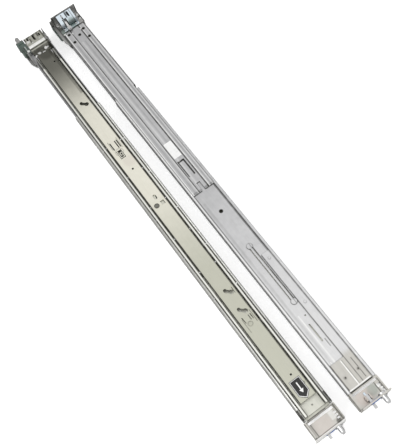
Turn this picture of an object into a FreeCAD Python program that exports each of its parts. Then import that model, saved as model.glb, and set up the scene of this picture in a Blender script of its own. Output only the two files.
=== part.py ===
import FreeCAD, Part
import math
import os
import Sketcher

# A pair of ball-bearing rails for a one-unit server: each has an outer channel fixed to the
# rack by a front bracket and by a telescoping rear arm, and a middle and an inner channel
# that draw out on two rows of balls each.
#
# Rail frame: +X towards the front of the rack, +Y up in the rack, +Z from the rack post
# towards the server. Front parts are measured from the front flange (x = 0), rear parts
# from the rear flange. Each rail is drawn once; the left one is its mirror image.

SIZES = (
    # slide section
    ("slide_height", 43.0, "height of the outer channel, fits one rack unit"),
    ("slide_depth", 12.6, "depth of the slide from bead to lip"),
    ("outer_sheet", 1.4, "sheet of the outer channel"),
    ("web_recess", 1.6, "outer web set back behind the beads"),
    ("bead_width", 4.3, "width of each edge bead"),
    ("bead_slope", 0.4, "undercut of a bead that keeps the arm in"),
    ("bend_radius", 1.2, "outside radius of the channel bends"),
    ("ball_diameter", 4.0, "bearing balls"),
    ("ball_play", 0.1, "space between a ball and its track"),
    ("lip_gap", 1.5, "from the outer lip to the middle channel"),
    ("web_gap", 0.9, "from web to web, room for a ball cage"),
    ("middle_sheet", 1.2, "sheet and waist of the middle channel"),
    ("middle_top_gap", 0.9, "middle channel below the outer lip"),
    ("middle_head_lip", 0.5, "middle lip over the inner balls"),
    ("inner_sheet", 1.2, "sheet of the inner channel"),
    ("inner_width", 23.0, "width of the inner channel"),
    ("inner_top_gap", 0.5, "inner channel below the outer lip"),
    ("inner_skirt", 2.8, "inner flange below the ball centre line"),
    ("cage_sheet", 0.4, "sheet of the ball cages"),
    ("cage_gap", 0.25, "cage to the web under it"),
    ("cage_head", 1.8, "cage above the ball centre line"),
    ("cage_hole_play", 0.05, "ball in its cage hole"),
    # lengths
    ("flange_span", 750.0, "rear flange to front flange, right rail"),
    ("left_draw", 7.5, "left rear arm drawn out further than the right one"),
    ("outer_back", 26.0, "front flange to the outer channel"),
    ("outer_length", 542.0, "length of the outer channel"),
    ("middle_back", 29.0, "front flange to the middle channel"),
    ("middle_rear_gap", 50.0, "middle channel to the rear flange"),
    ("inner_back", 45.0, "front flange to the inner channel"),
    ("inner_rear_gap", 47.0, "inner channel to the rear flange"),
    ("outer_cage_back", 209.0, "front flange to the outer ball cage"),
    ("outer_cage_length", 290.0, "length of the outer ball cage"),
    ("inner_cage_back", 250.0, "front flange to the inner ball cage"),
    ("inner_cage_length", 250.0, "length of the inner ball cage"),
    ("cage_margin", 6.0, "last ball to the end of its cage"),
    ("balls_per_row", 5, "balls in each row"),
    # rear arm
    ("arm_length", 394.0, "rear flange to the end of the arm"),
    ("arm_step_gap", 0.5, "flanged part of the arm to the outer channel"),
    ("arm_start", 14.0, "rear flange to the arm's web"),
    ("arm_sheet", 1.3, "sheet of the arm"),
    ("arm_play", 0.2, "arm in the recess of the outer channel"),
    ("arm_height", 39.6, "height of the flanged part of the arm"),
    ("arm_flange_depth", 11.3, "reach of the arm flanges"),
    ("rib_upper", 8.7, "upper rib line above the middle"),
    ("rib_lower", 7.1, "lower rib line below the middle"),
    ("rib_groove", 1.7, "width of a rib line"),
    ("rib_sink", 0.6, "depth of a rib line"),
    ("fork_depth", 15.0, "notch in the end of the arm"),
    ("fork_width", 5.6, "width of that notch"),
    ("tongue_back", 58.0, "end of the arm to the lanced tongue"),
    ("tongue_length", 28.5, "length of the tongue's cut"),
    ("tongue_width", 10.0, "width over the tongue's cut"),
    ("tongue_cut", 1.2, "width of the cut"),
    ("arm_hole", 3.4, "holes at the root of the arm"),
    # brackets
    ("bracket_sheet", 1.4, "sheet of the brackets"),
    ("flange_sheet", 2.0, "thickness of the rack flanges"),
    ("flange_reach", 18.0, "rack flange beyond the outer face"),
    ("flange_top", 22.0, "rack flange above the middle"),
    ("flange_foot", 22.5, "rack flange below the middle"),
    ("bracket_bend", 3.0, "outside bend at the rack flanges"),
    ("box_length", 24.0, "front box behind the flange"),
    ("front_plate_back", 66.0, "front flange to the end of the wide plate"),
    ("front_strap_back", 236.0, "front flange to the end of the narrow strap"),
    ("front_strap_foot", 4.6, "strap edge above the middle"),
    ("plate_side_play", 0.4, "front plate in the recess"),
    ("plate_web_play", 0.1, "front plate off the outer web"),
    ("side_wall_depth", 11.5, "reach of the bracket side walls"),
    ("cross_slot", 3.0, "slot across the front box"),
    ("rear_plate_length", 26.0, "rear bracket plate"),
    ("rear_wall_length", 44.0, "lower rear wall, full depth"),
    ("rear_wall_taper", 11.0, "taper at the end of that wall"),
    ("rear_ledge", 4.0, "lower ledge beyond the arm"),
    ("ear_foot", 27.0, "lower ear of the rear flange"),
    ("housing_top", 14.4, "top edge of the peg housing below the middle"),
    ("housing_length", 27.0, "length of the peg housing"),
    ("housing_rise", 9.4, "peg housing in from the outer face"),
    ("cover_level", 9.6, "end cover above the outer face"),
    ("cover_sheet", 1.2, "sheet of the end cover"),
    ("leaf_sheet", 0.8, "sheet of the rear spring plate"),
    # pegs and latches
    ("peg_diameter", 7.0, "round pegs that enter the rack holes"),
    ("peg_collar", 10.5, "collar of a peg"),
    ("front_peg_reach", 11.0, "front peg beyond its flange"),
    ("front_peg_rise", 11.0, "front peg above the middle"),
    ("front_peg_depth", 9.0, "front peg out from the outer face"),
    ("rear_peg_reach", 14.0, "rear peg beyond its flange"),
    ("rear_peg_drop", 20.75, "rear peg below the middle, two hole pitches from the front one"),
    ("rear_peg_depth", 4.0, "rear peg in from the outer face"),
    ("rear_peg_seat", 6.0, "rear peg held in its housing"),
    ("hook_sheet", 3.2, "thickness of a hook"),
    ("hook_drop", 4.875, "hook below the middle, one hole pitch from the front peg"),
    ("hook_pivot_back", 9.0, "hook pivot behind its flange"),
    ("hook_pivot_depth", 7.5, "hook pivot out from the outer face"),
    ("hook_bar", 3.0, "depth of the hook bar"),
    ("hook_nose", 2.5, "nose beyond the bar"),
    ("hook_reach", 6.6, "hook beyond its flange"),
    ("post_thickness", 3.2, "rack post held by the hook"),
    ("pin_diameter", 2.5, "hook pivot pins"),
    ("pin_play", 0.05, "radial play on a pivot pin"),
    ("ear_sheet", 1.4, "ears that carry a pivot pin"),
    ("ear_gap", 0.6, "hook to its ears"),
    ("tab_width", 12.0, "width of the release tab"),
    ("tab_shift", 3.9, "middle of the tab above the hook"),
    ("tab_depth", 5.0, "depth of the release tab"),
    ("tab_front", 0.6, "release tab in front of the flange"),
    ("tab_back", 2.6, "release tab behind the flange front"),
    # inner panel
    ("stud_slot", 4.6, "width of a stud slot"),
    ("stud_entry", 6.6, "entry hole of a stud slot"),
    ("stud_slant_x", 2.6, "half length of a stud slot along the rail"),
    ("stud_slant_y", 3.0, "half height of a stud slot"),
    ("stud_catch", 1.4, "level end of a stud slot, where the stud rests"),
    ("lever_sheet", 1.2, "sheet of the lock levers"),
    ("lever_gap", 0.3, "lever under the inner web"),
    ("lever_pin", 3.0, "pins of the lock levers"),
    ("lever_head", 4.6, "heads of those pins"),
    ("head_sink", 0.5, "recess round a pin head"),
    ("head_ring", 7.4, "diameter of that recess"),
    # outer web details
    ("strap_slot", 5.0, "slot under the hold strap"),
    ("strap_width", 3.0, "hold strap"),
    ("strap_sheet", 1.0, "sheet of the hold strap"),
    ("strap_eye", 8.4, "round ends of the hold strap"),
    ("strap_back", 155.0, "front flange to the hold strap"),
    ("strap_length", 105.0, "length of the hold strap"),
    ("rivet_head", 4.2, "rivet heads"),
    ("rivet_shank", 2.6, "rivet shanks"),
    ("rivet_rise", 0.7, "height of a rivet head"),
    # layout of the pair
    ("pair_pitch", 64.0, "middle of one rail to the middle of the other"),
    ("pair_shift", 4.4, "left rail lies this much further forward"),
)


HOLE_PLAY = 0.02    # round a pin or rivet that is fixed in its hole


class Size:
    """A length that knows its value and the sheet formula that gives it."""

    def __init__(self, value, formula):
        self.value = float(value)
        self.formula = formula

    @staticmethod
    def of(item):
        return item if isinstance(item, Size) else Size(item, "%.6g" % item)

    def join(self, other, sign, value):
        return Size(value, "(%s %s %s)" % (self.formula, sign, other.formula))

    def __add__(self, other):
        other = Size.of(other)
        return self.join(other, "+", self.value + other.value)

    def __sub__(self, other):
        other = Size.of(other)
        return self.join(other, "-", self.value - other.value)

    def __mul__(self, other):
        other = Size.of(other)
        return self.join(other, "*", self.value * other.value)

    def __truediv__(self, other):
        other = Size.of(other)
        return self.join(other, "/", self.value / other.value)

    def __radd__(self, other):
        return Size.of(other) + self

    def __rsub__(self, other):
        return Size.of(other) - self

    def __rmul__(self, other):
        return Size.of(other) * self

    def __neg__(self):
        return Size(-self.value, "(-1 * %s)" % self.formula)


def root(size):
    """Square root of a length product."""
    return Size(math.sqrt(max(size.value, 0.0)), "sqrt(%s)" % size.formula)


class Sheet:
    """The spreadsheet of driving sizes, read by name."""

    def __init__(self, document):
        self.cells = document.addObject("Spreadsheet::Sheet", "sizes")
        for row, (name, value, note) in enumerate(SIZES, start=1):
            self.cells.set("A%d" % row, name)
            self.cells.set("B%d" % row, "%g" % value)
            self.cells.set("C%d" % row, note)
            self.cells.setAlias("B%d" % row, name)
        document.recompute()

    def __getattr__(self, name):
        return Size(self.cells.get(name), "sizes.%s" % name)


doc = FreeCAD.newDocument("ServerRailPair")
S = Sheet(doc)

# ---------------------------------------------------------------- derived places
half = S.slide_height / 2
lip_top = S.slide_depth
track = S.ball_diameter / 2 + S.ball_play
ball_level = S.slide_depth - S.outer_sheet - track
outer_ball_y = half - S.outer_sheet - track
inner_ball_y = outer_ball_y - track * 2 - S.middle_sheet
bead_inner = half - S.bead_width
outer_web_top = S.web_recess + S.outer_sheet
middle_half = outer_ball_y - S.lip_gap
middle_web = outer_web_top + S.web_gap
middle_web_top = middle_web + S.middle_sheet
middle_top = lip_top - S.middle_top_gap
middle_lip_y = inner_ball_y + S.middle_head_lip
inner_half = S.inner_width / 2
inner_top = lip_top - S.inner_top_gap
inner_web = inner_top - S.inner_sheet
inner_wall = inner_ball_y - track - S.inner_sheet
inner_foot = ball_level - S.inner_skirt
cage_top = ball_level + S.cage_head
arm_top = S.arm_play + S.arm_sheet
arm_half = S.arm_height / 2
plate_top = S.web_recess - S.plate_web_play
plate_bottom = plate_top - S.bracket_sheet
plate_half = bead_inner - S.plate_side_play
box_inner = Size.of(0) - S.plate_web_play
box_outer = box_inner - S.bracket_sheet
rear_outer = S.arm_play - S.bracket_sheet
lever_top = inner_web - S.lever_gap
lever_bottom = lever_top - S.lever_sheet
middle_length = S.flange_span - S.middle_back - S.middle_rear_gap
inner_length = S.flange_span - S.inner_back - S.inner_rear_gap
outer_end = S.outer_back + S.outer_length
arm_channel_end = S.flange_span - outer_end - S.arm_step_gap
housing_start = S.flange_sheet + 0.1
housing_end = housing_start + S.housing_length
hook_axis = Size.of(0) - S.hook_pivot_depth
bar_top = hook_axis + S.hook_bar / 2
bar_bottom = hook_axis - S.hook_bar / 2


# ---------------------------------------------------------------- drawing helpers
def bind(item, path, size):
    """Set a property from a size and tie it to the sheet."""
    size = Size.of(size)
    item.setExpression(path, size.formula)


def plane_of(body, name):
    return next(one for one in body.Origin.OriginFeatures if one.Role == name)


def to(x, y, radius=None, turn=1):
    """One corner of an outline; with a radius, it is reached by an arc (turn +1 left)."""
    return (Size.of(x), Size.of(y), None if radius is None else Size.of(radius), turn)


def box_outline(x0, x1, y0, y1):
    return [to(x0, y0), to(x1, y0), to(x1, y1), to(x0, y1)]


def capsule(x0, y0, x1, y1, radius):
    """A slot with round ends between two centres."""
    x0, y0, x1, y1, radius = (Size.of(one) for one in (x0, y0, x1, y1, radius))
    run = math.hypot(x1.value - x0.value, y1.value - y0.value)
    along = ((x1.value - x0.value) / run, (y1.value - y0.value) / run)
    out = (along[0] * radius, along[1] * radius)
    side = (-along[1] * radius, along[0] * radius)
    return [
        to(x0 + side[0], y0 + side[1]),
        to(x0 - out[0], y0 - out[1], radius),
        to(x0 - side[0], y0 - side[1], radius),
        to(x1 - side[0], y1 - side[1]),
        to(x1 + out[0], y1 + out[1], radius),
        to(x1 + side[0], y1 + side[1], radius),
    ]


def centre_of(start, end, radius, turn):
    chord = end - start
    rise = math.sqrt(max(radius * radius - chord.Length * chord.Length / 4, 0.0))
    side = FreeCAD.Vector(-chord.y, chord.x, 0).normalize()
    return (start + end) / 2 + side * rise * turn


def pin_point(sketch, geometry, place, x, y):
    """Fix one point of a sketch at sheet coordinates."""
    for kind, size in (("DistanceX", x), ("DistanceY", y)):
        index = sketch.addConstraint(Sketcher.Constraint(kind, -1, 1, geometry, place, size.value))
        bind(sketch, "Constraints[%d]" % index, size)


def add_outline(sketch, outline):
    """Closed outline of lines and arcs, every corner tied to the sheet."""
    count = len(outline)
    corners = [FreeCAD.Vector(x.value, y.value, 0) for x, y, _, _ in outline]
    ends = []
    for index in range(count):
        start = corners[index]
        end = corners[(index + 1) % count]
        _, _, radius, turn = outline[(index + 1) % count]
        if radius is None:
            geometry = sketch.addGeometry(Part.LineSegment(start, end), False)
            ends.append((geometry, 1, 2))
            continue
        centre = centre_of(start, end, radius.value, turn)
        first, last = (start, end) if turn > 0 else (end, start)
        angles = [math.atan2(one.y - centre.y, one.x - centre.x) for one in (first, last)]
        circle = Part.Circle(centre, FreeCAD.Vector(0, 0, 1), radius.value)
        geometry = sketch.addGeometry(Part.ArcOfCircle(circle, angles[0], angles[1]), False)
        ends.append((geometry, 1, 2) if turn > 0 else (geometry, 2, 1))
        index_radius = sketch.addConstraint(Sketcher.Constraint("Radius", geometry, radius.value))
        bind(sketch, "Constraints[%d]" % index_radius, radius)
    for index in range(count):
        geometry, start, end = ends[index]
        following, following_start, _ = ends[(index + 1) % count]
        joint = Sketcher.Constraint("Coincident", geometry, end, following, following_start)
        sketch.addConstraint(joint)
        pin_point(sketch, geometry, start, outline[index][0], outline[index][1])


def add_circle(sketch, x, y, radius):
    x, y, radius = (Size.of(one) for one in (x, y, radius))
    centre = FreeCAD.Vector(x.value, y.value, 0)
    circle = Part.Circle(centre, FreeCAD.Vector(0, 0, 1), radius.value)
    geometry = sketch.addGeometry(circle, False)
    index = sketch.addConstraint(Sketcher.Constraint("Radius", geometry, radius.value))
    bind(sketch, "Constraints[%d]" % index, radius)
    pin_point(sketch, geometry, 3, x, y)


def draw(body, plane, level, outlines=(), circles=()):
    """A sketch on one of the body's planes, moved along the plane's normal."""
    sketch = body.newObject("Sketcher::SketchObject", body.Name + "_sketch")
    sketch.AttachmentSupport = [(plane_of(body, plane + "_Plane"), "")]
    sketch.MapMode = "FlatFace"
    bind(sketch, ".AttachmentOffset.Base.z", level)
    for outline in outlines:
        add_outline(sketch, outline)
    for x, y, radius in circles:
        add_circle(sketch, x, y, radius)
    return sketch


def pad(body, plane, level, depth, outlines=(), circles=()):
    """Material from the level, along the plane's normal."""
    feature = body.newObject("PartDesign::Pad", body.Name + "_pad")
    feature.Profile = draw(body, plane, level, outlines, circles)
    bind(feature, "Length", depth)
    feature.Refine = True
    body.Tip = feature
    return feature


def cut(body, plane, level, depth, outlines=(), circles=()):
    """Pocket from the level, against the plane's normal."""
    feature = body.newObject("PartDesign::Pocket", body.Name + "_cut")
    feature.Profile = draw(body, plane, level, outlines, circles)
    bind(feature, "Length", depth)
    body.Tip = feature
    return feature


def new_body(name):
    return doc.addObject("PartDesign::Body", "right_" + name)


def across(y_low, y_high):
    """Level and depth of a pad on the XZ plane, whose normal is -Y."""
    y_low, y_high = Size.of(y_low), Size.of(y_high)
    return -y_high, y_high - y_low


def mirrored(outline_half):
    """Join a half profile to its mirror image across y = 0, starting and ending there."""
    whole = list(outline_half)
    count = len(outline_half)
    for index in range(count - 2, 0, -1):
        x, y, _, _ = outline_half[index]
        _, _, radius, turn = outline_half[index + 1]
        whole.append((-x, y, radius, turn))
    return whole


def front(distance):
    """x of a place that lies this far behind the front flange."""
    return Size.of(0) - distance


# ---------------------------------------------------------------- slide members
def outer_channel():
    body = new_body("outer_channel")
    corner = S.bend_radius
    profile = mirrored([
        to(0, S.web_recess),
        to(bead_inner + S.bead_slope, S.web_recess),
        to(bead_inner, 0),
        to(half - corner, 0),
        to(half, corner, corner),
        to(half, ball_level),
        to(outer_ball_y, lip_top, track + S.outer_sheet),
        to(outer_ball_y, lip_top - S.outer_sheet),
        to(outer_ball_y + track, ball_level, track, -1),
        to(outer_ball_y + track, S.outer_sheet),
        to(bead_inner + S.outer_sheet, S.outer_sheet),
        to(bead_inner + S.outer_sheet + S.bead_slope, outer_web_top),
        to(0, outer_web_top),
    ])
    pad(body, "YZ", front(outer_end), S.outer_length, [profile])
    strap_mid = S.strap_back + S.strap_length / 2
    slot_end = S.strap_length / 2 - S.strap_eye
    through = outer_web_top + 1
    lance_back, lance_length, lance_y, lance_radius = 97.5, 25.5, -3.5, 1.1
    middle_hole, front_hole = (front(322), 0, 2.5), (front(136), 0, 1.2)
    rear_hole = (front(outer_end) + 22.5, -9, 1.6)
    cut(body, "XY", through, through, [
        capsule(front(strap_mid + slot_end), 0, front(strap_mid - slot_end), 0, S.strap_slot / 2),
        capsule(front(lance_back + lance_length), lance_y, front(lance_back), lance_y, lance_radius),
    ], [middle_hole, front_hole, rear_hole])
    cut(body, "XY", through, through, (), rivet_holes(FRONT_RIVETS, -1))
    window_back, window_length = S.outer_back + 4, 7.5
    window = box_outline(front(window_back + window_length), front(window_back),
                         outer_web_top + 2, ball_level + 1)
    cut(body, "XZ", half + 1, S.slide_height + 2, [window])
    return body


def middle_channel():
    body = new_body("middle_channel")
    corner = S.bend_radius
    reach = root(track * track - (outer_ball_y - middle_half) * (outer_ball_y - middle_half))
    inner_face = inner_ball_y + track
    lip = middle_lip_y - inner_ball_y
    lip_level = ball_level + root(track * track - lip * lip)
    profile = mirrored([
        to(0, middle_web),
        to(middle_half - corner, middle_web),
        to(middle_half, middle_web + corner, corner),
        to(middle_half, ball_level - reach),
        to(middle_half, ball_level + reach, track, -1),
        to(middle_half, middle_top),
        to(middle_lip_y, middle_top),
        to(middle_lip_y, lip_level),
        to(inner_face, ball_level, track, -1),
        to(inner_face, middle_web_top),
        to(0, middle_web_top),
    ])
    back = front(S.middle_back + middle_length)
    pad(body, "YZ", back, middle_length, [profile])
    slot_length, slot_radius = 12.0, 2.0
    front_slot, rear_slot = front(120), back + 60
    stop_hole, gauge_hole = (front(60), 0, 2.0), (front(80), 0, 1.5)
    nose_hole = (front(S.middle_back) - 8, 0, 1.2)
    cut(body, "XY", middle_web_top + 1, S.middle_sheet + 2, [
        capsule(x, 0, x + slot_length, 0, slot_radius) for x in (front_slot, rear_slot)
    ], [stop_hole, gauge_hole, nose_hole])
    return body


STUD_BACKS = (579.4, 211.0, 180.0)
STUD_RISES = (1.5, 2.0, 1.5)
PANEL_LANCES = (
    # back end, its height, front end, its height, half width
    (496, 6.5, 483, 6.5, 0.8),
    (496, 3.5, 483, 3.5, 0.8),
    (496, -4.3, 483, -4.3, 0.8),
    (214, 8.4, 205, 8.4, 0.4),
    (171, 6.8, 164, 6.8, 0.6),
    (171, 3.8, 164, 3.8, 0.6),
    (172, -5.2, 164, -4.6, 0.6),
    (386, 1.0, 382, 1.0, 2.2),
)
PANEL_WINDOWS = (
    # back end, front end, foot, head
    (374.0, 367.5, 2.8, 8.0),
    (479, 464, -4.2, 3.8),
)
PANEL_HOLES = (
    # distance back, height, radius
    (441, 0.5, 1.5),
    (79.5, 1.0, 1.4),
    (49.5, 0.6, 1.3),
)


def inner_channel():
    body = new_body("inner_channel")
    corner = 0.4
    dip = root(track * track - (inner_ball_y - inner_half) * (inner_ball_y - inner_half))
    profile = mirrored([
        to(0, inner_top),
        to(inner_wall, inner_top),
        to(inner_half - corner, inner_top),
        to(inner_half, inner_top - corner, corner, -1),
        to(inner_half, ball_level + dip),
        to(inner_half, ball_level - dip, track),
        to(inner_half, inner_foot),
        to(inner_wall, inner_foot),
        to(inner_wall, inner_web),
        to(0, inner_web),
    ])
    back = front(S.inner_back + inner_length)
    pad(body, "YZ", back, inner_length, [profile])
    through = S.inner_sheet + 2
    above = inner_top + 1
    cut_stud_slots(body, above, through)
    lances = [
        capsule(front(x0), y0, front(x1), y1, radius) for x0, y0, x1, y1, radius in PANEL_LANCES
    ]
    windows = [box_outline(front(x0), front(x1), y0, y1) for x0, x1, y0, y1 in PANEL_WINDOWS]
    holes = [(front(x), y, radius) for x, y, radius in PANEL_HOLES]
    rear_hole = (back + 26.5, 5.5, 1.5)
    cut(body, "XY", above, through, lances + windows, holes + [rear_hole])
    pins = [(x, y) for _, x, y in LEVER_PINS]
    cut(body, "XY", inner_top, S.head_sink, (), [(x, y, S.head_ring / 2) for x, y in pins])
    shank = S.lever_pin / 2 + HOLE_PLAY
    cut(body, "XY", above, through, (), [(x, y, shank) for x, y in pins])
    return body


def cut_stud_slots(body, above, through):
    """Bent slots: a round entry, a slanted run and a level end that keeps the stud."""
    places = [(front(x), Size.of(y)) for x, y in zip(STUD_BACKS, STUD_RISES)]
    radius = S.stud_slot / 2
    slants = []
    catches = []
    entries = []
    for x, rise in places:
        low_x, low_y = x - S.stud_slant_x, rise - S.stud_slant_y
        high_x, high_y = x + S.stud_slant_x, rise + S.stud_slant_y
        slants.append(capsule(low_x, low_y, high_x, high_y, radius))
        catches.append(capsule(low_x - S.stud_catch, low_y, low_x, low_y, radius))
        entries.append((high_x, high_y, S.stud_entry / 2))
    cut(body, "XY", above, through, slants)
    cut(body, "XY", above, through, catches)
    cut(body, "XY", above, through, (), entries)


LEVER_PINS = (
    ("slide_lock_pin", front(371.0), Size.of(-4.4)),
    ("stud_lock_pin", front(160.0), Size.of(-0.5)),
)


def ball_cage(name, back_gap, length, web_bottom, wall_y):
    """A U of thin sheet with a row of ball holes in each wall."""
    body = new_body(name)
    half_sheet = S.cage_sheet / 2
    profile = mirrored([
        to(0, web_bottom),
        to(wall_y + half_sheet, web_bottom),
        to(wall_y + half_sheet, cage_top),
        to(wall_y - half_sheet, cage_top),
        to(wall_y - half_sheet, web_bottom + S.cage_sheet),
        to(0, web_bottom + S.cage_sheet),
    ])
    back = front(back_gap + length)
    pad(body, "YZ", back, length, [profile])
    hole = S.ball_diameter / 2 + S.cage_hole_play
    reach = wall_y + S.cage_sheet
    holes = [(x, ball_level, hole) for x in ball_places(back, length)]
    cut(body, "XZ", reach, reach * 2, (), holes)
    return body


def ball_places(back, length):
    count = int(round(S.balls_per_row.value))
    first = back + S.cage_margin
    step = (length - S.cage_margin * 2) / max(count - 1, 1)
    return [first + step * index for index in range(count)]


def ball_rows(name, back_gap, length, ball_y):
    """Two rows of balls, kept as one group of separate solids."""
    balls = []
    for x in ball_places(front(back_gap + length), length):
        for side in (-1, 1):
            ball = doc.addObject("Part::Sphere", name + "_one")
            bind(ball, "Radius", S.ball_diameter / 2)
            bind(ball, ".Placement.Base.x", x)
            bind(ball, ".Placement.Base.y", ball_y * side)
            bind(ball, ".Placement.Base.z", ball_level)
            balls.append(ball)
    group = doc.addObject("Part::Compound", "right_" + name)
    group.Links = balls
    return group


def outer_ball_cage():
    level = outer_web_top + S.cage_gap
    return ball_cage("outer_ball_cage", S.outer_cage_back, S.outer_cage_length, level,
                     outer_ball_y)


def inner_ball_cage():
    level = middle_web_top + S.cage_gap
    wall = (inner_half + middle_lip_y) / 2 - 0.1
    return ball_cage("inner_ball_cage", S.inner_cage_back, S.inner_cage_length, level, wall)


# ---------------------------------------------------------------- lock levers
def lock_lever(name, outline, pin):
    body = new_body(name)
    hole = S.lever_pin / 2 + S.pin_play
    pad(body, "XY", lever_bottom, S.lever_sheet, [outline])
    cut(body, "XY", lever_top + 1, S.lever_sheet + 2, (), [(pin[1], pin[2], hole)])
    return body


def slide_lock_lever():
    x = LEVER_PINS[0][1]
    outline = [
        to(x - 22, -2.5), to(x - 3, -8.2), to(x + 3, -8.2), to(x + 4.2, -6.5),
        to(x + 3.6, 7.4), to(x - 3.4, 7.4), to(x - 4.4, 0.5), to(x - 22, 3.5),
        to(x - 23.5, 2.0), to(x - 23.5, -1.0),
    ]
    return lock_lever("slide_lock_lever", outline, LEVER_PINS[0])


def stud_lock_lever():
    x = LEVER_PINS[1][1]
    outline = [
        to(x - 13.5, 1.2), to(x - 12.5, -3.2), to(x + 2, -4.6), to(x + 26, -3.4),
        to(x + 27.5, -1.8), to(x + 27.5, 0.6), to(x + 25, 2.4), to(x + 2, 3.6), to(x - 6, 2.4),
    ]
    return lock_lever("stud_lock_lever", outline, LEVER_PINS[1])


def lever_pin(index):
    """A shouldered pin: head in the panel, shank through the lever, foot under it."""
    name, x, y = LEVER_PINS[index]
    foot_gap, foot = 0.2, 0.6
    head_bottom = inner_top - S.head_sink
    foot_top = lever_bottom - foot_gap
    body = new_body(name)
    pad(body, "XY", foot_top - foot, foot, (), [(x, y, S.lever_head / 2)])
    pad(body, "XY", foot_top, head_bottom - foot_top, (), [(x, y, S.lever_pin / 2)])
    pad(body, "XY", head_bottom, S.head_sink, (), [(x, y, S.lever_head / 2)])
    return body


def retainer_clip():
    """A bent flat spring in the panel's window."""
    body = new_body("retainer_clip")
    x0 = front(478)
    level = inner_web - 1.0
    path = [
        to(x0, -3.4), to(x0 + 12.6, -3.4), to(x0 + 12.6, 3.0), to(x0 + 3.0, 3.0),
        to(x0 + 3.0, -1.2), to(x0 + 8.6, -1.2), to(x0 + 8.6, 1.2), to(x0 + 7.6, 1.2),
        to(x0 + 7.6, -0.2), to(x0 + 4.0, -0.2), to(x0 + 4.0, 2.0), to(x0 + 11.6, 2.0),
        to(x0 + 11.6, -2.4), to(x0, -2.4),
    ]
    pad(body, "XY", level, 1.9, [path])
    pad(body, "XY", level, 1.0, [box_outline(x0 - 6, x0 + 0.5, -3.4, -1.4)])
    return body


# ---------------------------------------------------------------- outer web fittings
def hold_strap():
    body = new_body("hold_strap")
    mid = front(S.strap_back + S.strap_length / 2)
    reach = S.strap_length / 2 - S.strap_eye / 2
    level = S.web_recess - S.strap_sheet
    long_bar = box_outline(mid - reach, mid + reach, S.strap_width / -2, S.strap_width / 2)
    pad(body, "XY", level, S.strap_sheet, [long_bar])
    pad(body, "XY", level, S.strap_sheet, (), [(mid - reach, 0, S.strap_eye / 2)])
    pad(body, "XY", level, S.strap_sheet, (), [(mid + reach, 0, S.strap_eye / 2)])
    return body


FRONT_RIVETS = ((44.0, 9.5), (44.0, -10.5), (226.0, 10.8), (150.0, 10.8))
REAR_RIVETS = ((22.2, 9.0), (22.2, -12.0))
COVER_RIVETS = ((35.0, 8.0), (35.0, -6.0))


def rivet(name, x, y, level, depth):
    """A shank from the level inwards, with a flat tapered head on the outer side."""
    shank = doc.addObject("Part::Cylinder", name + "_shank")
    bind(shank, "Radius", S.rivet_shank / 2)
    bind(shank, "Height", depth)
    head = doc.addObject("Part::Cone", name + "_head")
    bind(head, "Radius1", S.rivet_head / 2 - S.rivet_rise / 2)
    bind(head, "Radius2", S.rivet_head / 2)
    bind(head, "Height", S.rivet_rise)
    for piece, shift in ((shank, Size.of(0)), (head, -S.rivet_rise)):
        bind(piece, ".Placement.Base.x", x)
        bind(piece, ".Placement.Base.y", y)
        bind(piece, ".Placement.Base.z", level + shift)
    whole = doc.addObject("Part::Fuse", name + "_rivet")
    whole.Base = shank
    whole.Tool = head
    return whole


def rivets(name, rows):
    """One group of rivets; a row holds places, level and depth."""
    joined = doc.addObject("Part::Compound", "right_" + name)
    joined.Links = [
        rivet(name, x, y, level, depth) for places, level, depth in rows for x, y in places
    ]
    return joined


def front_rivets():
    places = [(front(x), Size.of(y)) for x, y in FRONT_RIVETS]
    return rivets("front_rivets", [(places, plate_bottom, outer_web_top - plate_bottom)])


def rear_rivets():
    leaf_level = rear_outer - S.leaf_sheet
    rows = [
        (REAR_RIVETS, leaf_level, arm_top - leaf_level),
        (COVER_RIVETS, S.arm_play, arm_top + S.cover_sheet - S.arm_play),
    ]
    return rivets("rear_rivets", rows)


def rivet_holes(places, sign):
    clearance = S.rivet_shank / 2 + HOLE_PLAY
    return [(Size.of(x) * sign, Size.of(y), clearance) for x, y in places]


# ---------------------------------------------------------------- front bracket
def flange_profile(sign, plate_end, top, bottom, edge):
    """Plate and rack flange in one bend; sign is -1 behind a front flange, +1 at the rear."""
    bend = S.bracket_bend
    inside = S.bracket_bend - S.flange_sheet
    turn = -sign
    return [
        to(sign * plate_end, top),
        to(sign * bend, top),
        to(0, top - bend, bend, -turn),
        to(0, -edge),
        to(sign * S.flange_sheet, -edge),
        to(sign * S.flange_sheet, bottom - inside),
        to(sign * (S.flange_sheet + inside), bottom, inside, turn),
        to(sign * plate_end, bottom),
    ]


def front_bracket():
    body = new_body("front_bracket")
    riser = S.box_length + S.bracket_sheet
    plate = [
        to(front(S.front_strap_back), S.front_strap_foot),
        to(front(S.front_plate_back), S.front_strap_foot),
        to(front(S.front_plate_back), -plate_half),
        to(front(riser), -plate_half),
        to(front(riser), plate_half),
        to(front(S.front_strap_back), plate_half),
    ]
    pad(body, "XY", plate_bottom, S.bracket_sheet, [plate])
    level, width = across(-S.flange_foot, S.flange_top)
    profile = flange_profile(-1, S.box_length, box_inner, box_outer, S.flange_reach)
    pad(body, "XZ", level, width, [profile])
    pad(body, "XZ", level, width, [box_outline(front(riser), front(S.box_length),
                                               box_outer, plate_top)])
    wall_start = front(S.box_length)
    wall_end = front(S.bracket_bend)
    inner = half - S.bracket_sheet
    for low, high in ((inner, half), (-half, -inner)):
        pad(body, "XY", box_inner - S.bracket_sheet / 2, S.side_wall_depth + S.bracket_sheet / 2,
            [box_outline(wall_start, wall_end, low, high)])
    ears(body, -1, box_outer)
    cut_front_openings(body, inner)
    return body


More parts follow.
